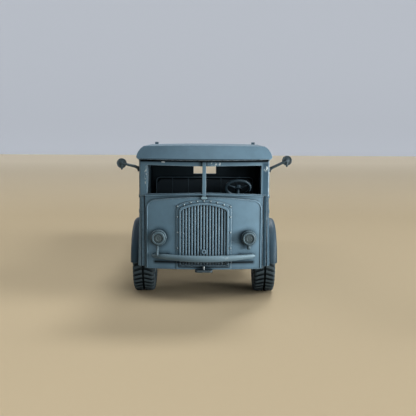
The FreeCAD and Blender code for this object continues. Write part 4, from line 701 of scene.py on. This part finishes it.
def rim_form(half, face_x, dish, hub_set):
    # Barrel with a rolled lip, dished and holed disc, eight nuts and the hub bored for its stub.
    inner = RIM_RADIUS - RIM_WALL
    flat_x = face_x + dish
    back_x = flat_x - DISC_THICKNESS
    barrel = [
        (-half, RIM_RADIUS),
        (half - 0.12, RIM_RADIUS),
        (half, RIM_RADIUS - 0.06),
        (half, inner + 0.1),
        (half - 0.14, inner),
        (-half, inner),
    ]
    disc = [(flat_x, 1.0), (flat_x, DISC_RADIUS), (back_x, DISC_RADIUS + 0.15), (back_x, 1.0)]
    hub_front = half - hub_set + 0.45
    bore_end = hub_front - 0.6
    hub_back = face_x - DISC_THICKNESS + min(dish, 0)
    hub = [
        (bore_end, ON_AXIS),
        (bore_end, HUB_BORE),
        (hub_back, HUB_BORE),
        (hub_back, HUB_RADIUS),
        (flat_x + 0.12, HUB_RADIUS),
        (flat_x + 0.2, HUB_RADIUS - 0.13),
        (hub_front - 0.3, HUB_RADIUS - 0.17),
        (hub_front - 0.08, HUB_RADIUS - 0.33),
        (hub_front, HUB_RADIUS - 0.6),
        (hub_front, ON_AXIS),
    ]
    holed = holed_band(
        inner=2.4,
        inner_x=flat_x,
        outer=inner + 0.1,
        outer_x=face_x - 0.05,
        thickness=0.38,
        count=HAND_HOLES,
        hole_circle=HAND_HOLE_CIRCLE,
        hole_radius=HAND_HOLE_RADIUS,
    )
    forms = [lathe(barrel, 64, closed=True), lathe(disc, 48, closed=True), lathe(hub, 32), holed]
    nut = [(flat_x - 0.2, 0.27), (flat_x + 0.24, 0.27), (flat_x + 0.3, 0.2), (flat_x + 0.3, ON_AXIS)]
    bolt = [(flat_x, 0.12), (flat_x + 0.3, 0.12), (flat_x + 0.3, ON_AXIS)]
    for index in range(NUTS):
        one = join([lathe(nut, 6), lathe(bolt, 10)])
        forms.append(turned(moved(one, (0, 0, -NUT_CIRCLE)), "X", 360 / NUTS * index))
    return join(forms)


def make_wheels(looks):
    front = tyre_form(FRONT_TYRE_WIDTH)
    rear_one = tyre_form(REAR_TYRE_WIDTH)
    rear = join([moved(rear_one, (-TWIN_HALF, 0, 0)), moved(rear_one, (TWIN_HALF, 0, 0))])
    front_rim = rim_form(half=FRONT_TYRE_WIDTH / 2 - RIM_INSET, face_x=0.8, dish=0.7, hub_set=0.3)
    rear_rim = rim_form(half=TWIN_HALF + REAR_TYRE_WIDTH / 2 - RIM_INSET, face_x=2.75, dish=-1.2, hub_set=0.5)
    front_place = (FRONT_TRACK_HALF, FRONT_AXLE_Y, AXLE_Z)
    rear_place = (REAR_TWIN_X, REAR_AXLE_Y, AXLE_Z)
    rows = [
        ("front_tyre", front, front_place, "wheel_front", "tyre_plastic"),
        ("front_rim", front_rim, front_place, "wheel_front", "body_plastic"),
        ("rear_tyres", rear, rear_place, "wheels_rear", "tyre_plastic"),
        ("rear_rims", rear_rim, rear_place, "wheels_rear", "body_plastic"),
    ]
    for name, form, place, body, slot in rows:
        look = looks["tyre"] if "tyre" in name else looks["body"]
        for side in ("left", "right"):
            shape = moved(form, place)
            shape = shape if side == "left" else mirrored(shape)
            full = name + "_" + side
            piece(full + "_fine", shape, look, body + "_" + side, (full,), sharp=30.0)
    low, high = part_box("spare_wheel")
    middle = [(a + b) / 2 / MM for a, b in zip(low, high)]
    profile = [(0.0, ON_AXIS), (0.2, 0.6), (0.2, RIM_RADIUS), (-0.2, RIM_RADIUS), (-0.2, ON_AXIS)]
    disc = lathe(profile, 48)
    spare = moved(aimed(join([front, disc]), UP), middle)
    piece("spare_wheel_fine", spare, looks["tyre"], replaces=("spare_wheel",), sharp=30.0)


# Fenders, lamps, mirrors, bumper and steering wheel


def make_fenders(looks):
    profile = [
        (13.7, 8.7),
        (13.7, 9.2),
        (15.75, 9.2),
        (16.12, 9.13),
        (16.43, 8.95),
        (16.64, 8.68),
        (16.75, 8.3),
        (16.35, 8.3),
        (16.35, 8.45),
        (16.15, 8.7),
    ]
    form = lathe(profile, 56, start=90.0, sweep=180.0, closed=True)
    form = moved(form, (0, FRONT_AXLE_Y + FENDER_SETBACK, FENDER_CENTRE_Z))
    for side in ("left", "right"):
        shape = form if side == "left" else mirrored(form)
        name = "front_fender_" + side
        piece(name + "_fine", shape, looks["fender"], replaces=(name,), sharp=40.0)


def make_lamps(looks):
    # Drum with a stepped rim and a sunk face, on a foot; one has a strut below it and one a round lug.
    lamps = (("left", LAMP_X, LEFT_LAMP_SIZE), ("right", -LAMP_X - RIGHT_LAMP_OUT, RIGHT_LAMP_SIZE))
    for side, x, size in lamps:
        profile = [
            (-0.6, 0.42),
            (0.0, 0.42),
            (0.12, 1.1),
            (0.42, 1.5),
            (0.66, 1.7 * size),
            (1.36, 1.72 * size),
            (1.5, 1.62 * size),
            (1.52, 1.42 * size),
            (2.08, 1.42 * size),
            (2.2, 1.34 * size),
            (2.2, 1.04),
            (2.0, 0.98),
            (2.0, ON_AXIS),
        ]
        lens_profile = [
            (1.9, 0.98),
            (2.06, 0.98),
            (2.06, 0.66),
            (2.1, 0.6),
            (2.1, 0.5),
            (2.05, 0.44),
            (2.08, ON_AXIS),
        ]
        drum = aimed(lathe(profile, 40), AHEAD)
        lens = moved(aimed(lathe(lens_profile, 40), AHEAD), (x, field_y(x), LAMP_Z))
        piece("lamp_face_" + side, lens, looks["lens"], sharp=32.0)
        if side == "left":
            path = [(0, -1.0, -1.2), (0, -1.0, -1.75), (0, -1.0, -2.1), (0, -1.0, -2.45), (0, -1.0, -2.62)]
            radii = [0.42, 0.36, 0.48, 0.38, 0.14]
        else:
            path = [(-0.2, -1.0, -1.2), (-0.25, -1.0, -1.8), (-0.25, -1.3, -2.9), (-0.25, -1.8, -3.9)]
            radii = [0.42, 0.3, 0.26, 0.24]
        form = moved(join([drum, tube(path, radii)]), (x, field_y(x), LAMP_Z))
        name = "headlamp_" + side
        piece(name + "_fine", form, looks["lamp"], replaces=(name,), sharp=32.0)


def make_mirrors(looks):
    # Round mirror with a rolled rim and a centre boss, on a bent arm from a pad on the windscreen post.
    for side, height in (("left", LEFT_MIRROR_Z), ("right", RIGHT_MIRROR_Z)):
        centre = Vector((MIRROR_X, MIRROR_Y, height))
        profile = [
            (-0.24, ON_AXIS),
            (-0.24, 0.85),
            (-0.16, 1.0),
            (0.0, 1.09),
            (0.12, 1.11),
            (0.22, 1.06),
            (0.22, 0.95),
            (0.13, 0.88),
            (0.12, 0.42),
            (0.18, 0.34),
            (0.24, 0.2),
            (0.24, ON_AXIS),
        ]
        disc = moved(aimed(lathe(profile, 32), AHEAD), centre)
        elbow = Vector((15.4, MIRROR_Y - 0.05, 30.42))
        end = centre + Vector((0, -0.2, 0))
        path = [(14.5, MIRROR_Y, 29.3), (14.6, MIRROR_Y, 29.8), (14.9, MIRROR_Y, 30.15), elbow]
        for share in (0.4, 0.75, 1.0):
            path.append(elbow.lerp(end, share))
        arm = tube(path, [0.3, 0.33, 0.33, 0.32, 0.3, 0.28, 0.2])
        pad = bar(CAB_HALF - 0.1, CAB_HALF + 0.32, MIRROR_Y - 0.33, MIRROR_Y + 0.33, 29.4, 30.4)
        peg = tube([centre, centre + Vector((0, 0, -1.2)), centre + Vector((0, 0, -1.46))], [0.3, 0.24, 0.1])
        form = join([disc, arm, pad, peg])
        form = form if side == "left" else mirrored(form)
        name = "mirror_" + side
        piece(name + "_fine", form, looks["mirror"], replaces=(name,), sharp=45.0)


def bumper_section(x):
    # The bumper's outline at one place along it: rounded in front, tapered below and trimmed at the end.
    front = bow_y(x, BUMPER_HALF, BUMPER_MID_Y, BUMPER_BOW)
    taper = max(0.0, abs(x) - BUMPER_LEVEL_HALF) / (BUMPER_HALF - BUMPER_LEVEL_HALF)
    end = max(0.0, abs(x) - BUMPER_HALF + BUMPER_END) / BUMPER_END
    trim = BUMPER_END_TRIM * end * end
    low = BUMPER_LOW_Z + BUMPER_TAPER * taper + trim
    tall = BUMPER_TOP_Z - trim - low
    # Depth behind the front, and height as a share of the whole
    section = [
        (0.6, 0.0),
        (0.36, 0.0),
        (0.24, 0.08),
        (0.08, 0.28),
        (0.0, 0.5),
        (0.0, 0.66),
        (0.05, 0.8),
        (0.17, 0.93),
        (0.32, 1.0),
        (0.6, 1.0),
    ]
    return [Vector((x, front + depth, low + share * tall)) for depth, share in section]


def make_bumper(looks):
    # A bowed bar on two brackets.
    steps = 48
    loops = [bumper_section(BUMPER_HALF * (2 * step / steps - 1)) for step in range(steps + 1)]
    forms = [loops_form(loops, caps=True)]
    for x in (-BRACKET_X, BRACKET_X):
        front = bow_y(x, BUMPER_HALF, BUMPER_MID_Y, BUMPER_BOW) + 0.3
        back = field_y(x) + 0.3
        forms.append(bar(x - BRACKET_HALF, x + BRACKET_HALF, front, back, BRACKET_LOW_Z, BRACKET_TOP_Z))
    piece("bumper_fine", join(forms), looks["bumper"], replaces=("bumper",), sharp=35.0)


def steering_rim():
    # A ring of round section, flat round the Z axis.
    loops = []
    for step in range(48):
        angle = 2 * math.pi * step / 48
        out = Vector((math.cos(angle), math.sin(angle), 0))
        loop = []
        for part in range(10):
            turn = 2 * math.pi * part / 10
            across = STEERING_RADIUS + STEERING_THICKNESS * math.cos(turn)
            loop.append(out * across + UP * STEERING_THICKNESS * math.sin(turn))
        loops.append(loop)
    return loops_form(loops, closed_along=True)


def make_steering(looks):
    # Rim, three spokes and hub, tilted towards the seat on their column.
    forms = [steering_rim()]
    for index in range(SPOKES):
        path = [(0.3, 0, -0.1), (1.2, 0, -0.22), (2.2, 0, -0.12), (2.75, 0, 0)]
        forms.append(turned(tube(path, [0.24, 0.17, 0.15, 0.18], 8), "Z", 90 + 360 / SPOKES * index))
    hub = [(-0.55, 0.78), (0.2, 0.72), (0.45, 0.62), (0.54, 0.42), (0.55, ON_AXIS)]
    forms.append(aimed(lathe(hub, 24), UP))
    wheel = turned(join(forms), "X", -STEERING_TILT)
    tilt = math.radians(STEERING_TILT)
    down = Vector((0, -math.sin(tilt), -math.cos(tilt)))
    column_path = [STEERING_CENTRE, STEERING_CENTRE + down * 0.8, STEERING_CENTRE + down * 2.8]
    form = join([moved(wheel, STEERING_CENTRE), tube(column_path, [0.4, 0.3, 0.28])])
    look = looks["steering"]
    piece("steering_wheel_fine", form, look, replaces=("steering_wheel",), sharp=50.0)


# Small trim on the nose, cab, bed and boxes


def rivets(places, direction, radius, height):
    return join([moved(aimed(dome(radius, height), direction), place) for place in places])


def both_sides(form):
    return join([form, mirrored(form)])


def flange_places():
    # Rivets down both sides of the grille flange and over its arched head.
    places = []
    for z in FLANGE_RIVET_ROWS:
        for side in (-1, 1):
            places.append((side * FLANGE_HALF, z))
    for index in range(HEAD_RIVETS):
        x = HEAD_RIVET_PITCH * (index - (HEAD_RIVETS - 1) / 2)
        places.append((x, HEAD_TOP_Z - HEAD_ARCH * x * x))
    return [(x, field_y(x) - FLANGE_STAND, z) for x, z in places]


def bead_form():
    # The raised line round the nose field, strong at the sides and faint over the top.
    shoulder_z = BEAD_SIDE_Z - BEAD_ROUND
    path = []
    for step in range(17):
        path.append((-BEAD_HALF, BEAD_LOW_Z + (shoulder_z - BEAD_LOW_Z) * step / 16, BEAD_RADIUS))
    for step in range(1, 7):
        turn = math.radians(90 * step / 6)
        wide = BEAD_HALF - BEAD_ROUND * (1 - math.cos(turn))
        radius = BEAD_RADIUS - (BEAD_RADIUS - BEAD_TOP_RADIUS) * step / 6
        path.append((-wide, shoulder_z + BEAD_ROUND * math.sin(turn), radius))
    start_x, start_z, start_radius = path[-1]
    for step in range(1, 25):
        x = start_x * (1 - step / 24)
        path.append((x, start_z + (BEAD_TOP_Z - start_z) * (1 - (x / start_x) ** 2), start_radius))
    path += [(-x, z, r) for x, z, r in reversed(path[:-1])]
    points = [(x, field_y(x) + BEAD_SINK, z) for x, z, r in path]
    return tube(points, [r for x, z, r in path], 8)


def edge_form(half, side_z, middle_z, radius, forward):
    # A fine rolled edge that follows the bow of the nose and arches to its middle.
    points = []
    for step in range(41):
        x = half * (step / 20 - 1)
        z = side_z + (middle_z - side_z) * (1 - (x / half) ** 2)
        points.append((x, field_y(x) - forward, z))
    return tube(points, [radius] * len(points), 8)


def make_trim(looks):
    corner_places = [(CORNER_RIVET_X, SIDE_FRONT_Y, z) for z in CORNER_RIVET_ROWS]
    seam_y = field_y(SEAM_RIVET_X) + SEAM_SETBACK
    seam_places = [(SEAM_RIVET_X, seam_y, z) for z in SEAM_RIVET_ROWS]
    rows = [
        ("nose_bead", bead_form()),
        ("belt_edge", edge_form(half=13.0, side_z=24.02, middle_z=24.42, radius=0.13, forward=0.12)),
        ("nose_edge", edge_form(half=12.5, side_z=7.86, middle_z=7.86, radius=0.14, forward=-0.04)),
        ("corner_rivets", both_sides(rivets(corner_places, AHEAD, *CORNER_RIVET))),
        ("seam_rivets", both_sides(rivets(seam_places, AHEAD, *SEAM_RIVET))),
    ]
    for name, form in rows:
        piece(name, form, looks["body"], sharp=60.0)
    grille_rivets = rivets(flange_places(), AHEAD, *GRILLE_RIVET)
    piece("grille_rivets", grille_rivets, looks["rivet"], sharp=60.0)


def iron_places():
    # Middle of each upright iron: along a side of the bed, and across the tail.
    side_run = BED_REAR_Y - BED_BOARD - BED_FRONT_Y
    sides = [BED_FRONT_Y + side_run * (index + 0.5) / SIDE_IRONS for index in range(SIDE_IRONS)]
    tails = [2 * BED_HALF * (index + 0.5) / TAIL_IRONS - BED_HALF for index in range(TAIL_IRONS)]
    return sides, tails


def bed_bolts_form():
    # Two round bolt heads on each plank of each iron.
    sides, tails = iron_places()
    heights = []
    for plank in range(PLANKS):
        middle = BED_LOW_Z + PLANK * (plank + 0.5)
        heights += [middle - BOLT_SPREAD, middle + BOLT_SPREAD]
    face_x = BED_HALF + IRON_STAND
    face_y = BED_REAR_Y + IRON_STAND
    left = rivets([(face_x, y, z) for y in sides for z in heights], SIDEWAYS, *BOLT_HEAD)
    back = rivets([(x, face_y, z) for x in tails for z in heights], -AHEAD, *BOLT_HEAD)
    return join([both_sides(left), back])


def bed_hinges_form():
    # A hinge barrel at the foot of each iron.
    sides, tails = iron_places()
    x = BED_HALF + IRON_STAND - 0.1
    forms = []
    for y in sides:
        barrel = pin((x, y - HINGE_HALF, HINGE_Z), (x, y + HINGE_HALF, HINGE_Z), HINGE_RADIUS)
        forms.append(both_sides(barrel))
    y = BED_REAR_Y + IRON_STAND - 0.15
    for x in tails:
        forms.append(pin((x - HINGE_HALF, y, HINGE_Z), (x + HINGE_HALF, y, HINGE_Z), HINGE_RADIUS))
    return join(forms)


def bed_latches_form():
    # Two riveted corner straps with a drop latch beside them, at each end of each side board.
    forms = []
    x = BED_HALF
    for y, back in ((BED_FRONT_Y + 0.15, 1), (BED_REAR_Y - BED_BOARD - 0.15, -1)):
        y0, y1 = sorted((y, y + STRAP_LENGTH * back))
        for z in STRAP_ROWS:
            forms.append(bar(x - 0.1, x + 0.12, y0, y1, z, z + STRAP_HEIGHT))
            heads = [(x + 0.12, y0 + 0.35, z + 0.27), (x + 0.12, y1 - 0.35, z + 0.27)]
            forms.append(rivets(heads, SIDEWAYS, *STRAP_RIVET))
        pin_y = y + 0.55 * back
        path = [
            (x + 0.2, pin_y, LATCH_LOW_Z),
            (x + 0.24, pin_y, LATCH_LOW_Z + 0.6),
            (x + 0.24, pin_y, LATCH_LOW_Z + 1.6),
            (x + 0.2, pin_y, LATCH_LOW_Z + 1.9),
        ]
        forms.append(tube(path, [0.1, 0.17, 0.17, 0.1], 8))
    return both_sides(join(forms))


def tank_straps_form():
    # Two flat bands round the bevelled tank.
    x0, _, z0 = TANK_LOW
    x1, _, z1 = TANK_HIGH
    bands = []
    half = TANK_STRAP_HALF
    for y in TANK_STRAPS:
        loops = []
        for along, out in ((-half, -0.05), (-half, 0.1), (half, 0.1), (half, -0.05)):
            cut = TANK_BEVEL + 0.4 * out
            corners = [
                (x0 + cut, z0 - out),
                (x1 - cut, z0 - out),
                (x1 + out, z0 + cut),
                (x1 + out, z1 - cut),
                (x1 - cut, z1 + out),
                (x0 + cut, z1 + out),
                (x0 - out, z1 - cut),
                (x0 - out, z0 + cut),
            ]
            loops.append([Vector((x, y + along, z)) for x, z in corners])
        bands.append(loops_form(loops, closed_along=True))
    return join(bands)


def box_fittings_form():
    # Two drop latches and a carrying handle on the tool box.
    x = BOX_OUTER_X
    forms = []
    for y in BOX_LATCHES:
        forms.append(bar(x - 0.12, x + 0.1, y - 0.3, y + 0.3, 10.2, 11.4))
        forms.append(pin((x - 0.15, y - 0.3, 10.9), (x - 0.15, y + 0.3, 10.9), 0.14, 8))
    path = [
        (x + 0.1, BOX_HANDLE_Y - 0.9, 9.6),
        (x - 0.3, BOX_HANDLE_Y - 0.8, 9.5),
        (x - 0.35, BOX_HANDLE_Y, 9.4),
        (x - 0.3, BOX_HANDLE_Y + 0.8, 9.5),
        (x + 0.1, BOX_HANDLE_Y + 0.9, 9.6),
    ]
    forms.append(tube(path, [0.13] * len(path), 8))
    return join(forms)


def step_ribs_form():
    # Raised ribs along the tread of each cab step.
    low = STEP_TOP_Z - 0.05
    high = STEP_TOP_Z + 0.09
    ribs = [bar(x - 0.09, x + 0.09, STEP_FRONT_Y, STEP_BACK_Y, low, high) for x in STEP_RIBS]
    return both_sides(join(ribs))


def cab_side_rivets_form():
    # Rivets down the rear edge of each cab side, which flares below the belt.
    places = []
    for index in range(SIDE_RIVETS):
        z = SIDE_RIVET_LOW_Z + SIDE_RIVET_PITCH * index
        below = max(0.0, (BELT_Z - z) / (BELT_Z - CAB_LOW_Z))
        places.append((CAB_HALF + CAB_FLARE * below, CAB_BACK_Y - SIDE_RIVET_INSET, z))
    return both_sides(rivets(places, SIDEWAYS, *SIDE_RIVET))


def seat_piping_form():
    # The welt round the seat back and the seams across it.
    y = SEAT_BACK_Y
    top = SEAT_BACK_TOP_Z
    side = SEAT_HALF
    path = [
        (0.1 - side, y, SEAT_LOW_Z + 0.1),
        (0.1 - side, y, top - 1.0),
        (0.3 - side, y, top - 0.35),
        (0.9 - side, y, top - 0.05),
    ]
    other_half = [(-px, py, pz) for px, py, pz in reversed(path)]
    path += [(0, y, top - 0.02)] + other_half
    forms = [tube(path, [0.12] * len(path), 8)]
    for x in SEAT_SEAMS:
        forms.append(pin((x, y + 0.02, SEAT_LOW_Z), (x, y + 0.02, top - 0.1), 0.08, 6))
    return join(forms)


def make_side_trim(looks):
    body = looks["body"]
    rows = [
        ("bed_bolts", bed_bolts_form(), "bed_plastic"),
        ("bed_hinges", bed_hinges_form(), "bed_plastic"),
        ("bed_latches", bed_latches_form(), "bed_plastic"),
        ("tank_straps", tank_straps_form(), "body_plastic"),
        ("tool_box_fittings", box_fittings_form(), "body_plastic"),
        ("step_ribs", step_ribs_form(), "body_plastic"),
        ("cab_side_rivets", cab_side_rivets_form(), "body_plastic"),
    ]
    for name, form, slot in rows:
        piece(name, form, body, sharp=40.0)
    piece("seat_piping", seat_piping_form(), looks["piping"], sharp=60.0)


def dress_nodes(looks):
    by_slot = {
        "body_plastic": looks["body"],
        "bed_plastic": looks["bed"],
        "chassis_plastic": looks["chassis"],
        "interior_plastic": looks["inside"],
        "tyre_plastic": looks["tyre"],
    }
    # The radiator's near black and the tow pin's darker colour are painted shade.
    special = {"radiator": looks["black"], "tow_pin": looks["jaw"]}
    slots = {row["node"]: row["material_slot"] for row in frame["record"]["subparts"]}
    for name, item in frame["nodes"].items():
        material = special.get(name, by_slot[slots[name]])
        item.data.materials.clear()
        item.data.materials.append(material)


def make_looks():
    return {
        "body": plastic("plastic_body", *BODY, scuffs=SCUFFS, seams_and_painted_light=PAINTED_LIGHT_AND_SHADE),
        "bed": plastic("plastic_bed", *BODY, seams_and_painted_light=BED_SEAMS),
        "piping": plastic("plastic_piping", *CHASSIS, worn_and_highlit=0.3, sheen=0.2),
        "lamp": plastic("plastic_lamp", *LAMP, worn_and_highlit=0.5),
        "bumper": plastic("plastic_bumper", *BUMPER, worn_and_highlit=0.8, scuffs=BUMPER_SCUFFS),
        "chassis": plastic("plastic_chassis", *CHASSIS),
        "tyre": plastic("plastic_tyre", *TYRE, roughness=0.7),
        "inside": plastic("plastic_inside", *INSIDE, worn_and_highlit=0.3, sheen=0.2),
        "fender": plastic("plastic_fender", *FENDER, sheen=0.3),
        "rivet": plastic("plastic_rivet", *RIVET, worn_and_highlit=0.3),
        "jaw": plastic("plastic_jaw", *JAW, worn_and_highlit=0.5, scuffs=JAW_SCUFFS),
        "lens": plastic("plastic_lens", *LENS, worn_and_highlit=0.4),
        # The mirrors take the jaw's darker colour, which is painted shade.
        "mirror": plastic("plastic_mirror", *JAW, worn_and_highlit=0.3),
        "steering": plastic("plastic_steering", *STEERING, worn_and_highlit=0.3),
        "black": plastic("plastic_black", *BLACK, worn_and_highlit=0.2),
    }


# Camera, stage and light


def make_camera():
    data = bpy.data.cameras.new("camera")
    data.sensor_width = SENSOR_MM
    data.lens = SENSOR_MM * FOCAL_PIXELS / PICTURE_SIDE
    data.clip_start = CAMERA_NEAR * MM
    data.clip_end = CAMERA_FAR * MM
    camera = bpy.data.objects.new("camera", data)
    camera.location = CAMERA * MM
    camera.rotation_mode = "XYZ"
    camera.rotation_euler = (math.pi / 2 - CAMERA_PITCH, 0.0, 0.0)
    camera.rotation_euler.rotate_axis("Z", CAMERA_ROLL)
    bpy.context.scene.collection.objects.link(camera)
    bpy.context.scene.camera = camera


def stage_sheet(name, points, material):
    mesh = bpy.data.meshes.new(name)
    mesh.from_pydata([Vector(point) * MM for point in points], [], [(0, 1, 2, 3)])
    item = bpy.data.objects.new(name, mesh)
    bpy.context.scene.collection.objects.link(item)
    item.data.materials.append(material)


def make_stage():
    floor_look = (FLOOR_COLOUR, FAR_FLOOR, BOUNCE_COLOUR, FLOOR_MOTTLE_SCALE)
    floor = stage_material("floor_matte", *floor_look)
    wall_look = (WALL_COLOUR, WALL_COLOUR, BOUNCE_COLOUR, WALL_MOTTLE_SCALE, WALL_GLOW)
    wall = stage_material("backdrop_matte", *wall_look)
    half = FLOOR_HALF
    far = FLOOR_FAR_Y
    stage_sheet("floor", [(-half, -half, 0), (half, -half, 0), (half, far, 0), (-half, far, 0)], floor)
    wide = 2 * WALL_HALF
    tall = WALL_HALF
    corners = [(-wide, WALL_Y, -tall), (wide, WALL_Y, -tall), (wide, WALL_Y, tall), (-wide, WALL_Y, tall)]
    stage_sheet("backdrop", corners, wall)


def sun_light(name, direction, spread, strength, colour=(1.0, 1.0, 1.0)):
    # A far, broad light; the direction points from the truck towards it.
    data = bpy.data.lights.new(name, "SUN")
    data.angle = math.radians(spread)
    data.energy = strength
    data.color = colour
    lamp = bpy.data.objects.new(name, data)
    lamp.rotation_euler = Vector(direction).to_track_quat("Z", "Y").to_euler()
    bpy.context.scene.collection.objects.link(lamp)


def near_light(name, place, aim, side, spread, watts):
    # A small soft box beside the nose, outside the picture.
    data = bpy.data.lights.new(name, "AREA")
    data.shape = "SQUARE"
    data.size = side * MM
    data.spread = math.radians(spread)
    data.energy = watts
    lamp = bpy.data.objects.new(name, data)
    lamp.location = Vector(place) * MM
    lamp.rotation_euler = (Vector(aim) - Vector(place)).to_track_quat("-Z", "Y").to_euler()
    lamp.visible_camera = False
    bpy.context.scene.collection.objects.link(lamp)


def make_world():
    world = bpy.data.worlds.new("world")
    bpy.context.scene.world = world
    world.use_nodes = True
    tree = world.node_tree
    background = tree.nodes["Background"]
    seen = seen_rays(tree)
    tree.links.new(mixed(tree, SKY_LIGHT, WALL_COLOUR, seen), background.inputs["Color"])
    tree.links.new(ranged(tree, seen, 0.0, 1.0, SKY_STRENGTH, 1.0), background.inputs["Strength"])


def make_lights():
    sun_light("key_light", direction=(1.0, -0.12, 0.4), spread=30, strength=2.0)
    sun_light("top_light", direction=(0.1, -0.32, 1.0), spread=36, strength=0.8)
    sun_light("back_light", direction=(0.25, 0.66, 0.75), spread=22, strength=2.4)
    sun_light("side_light", direction=(0.5, -0.86, 0.1), spread=24, strength=0.75, colour=(0.9, 0.96, 1.0))
    near_light("right_light", place=(58, -72, 20), aim=(4, -44, 22), side=24, spread=50, watts=0.0045)
    sun_light("left_light", direction=(-0.9, 0.7, 0.45), spread=40, strength=2.2)


make_camera()
make_stage()
make_world()
make_lights()
bpy.context.scene.view_settings.view_transform = "Standard"
looks = make_looks()
dress_nodes(looks)
make_wheels(looks)
make_fenders(looks)
make_lamps(looks)
make_mirrors(looks)
make_bumper(looks)
make_steering(looks)
make_trim(looks)
make_side_trim(looks)
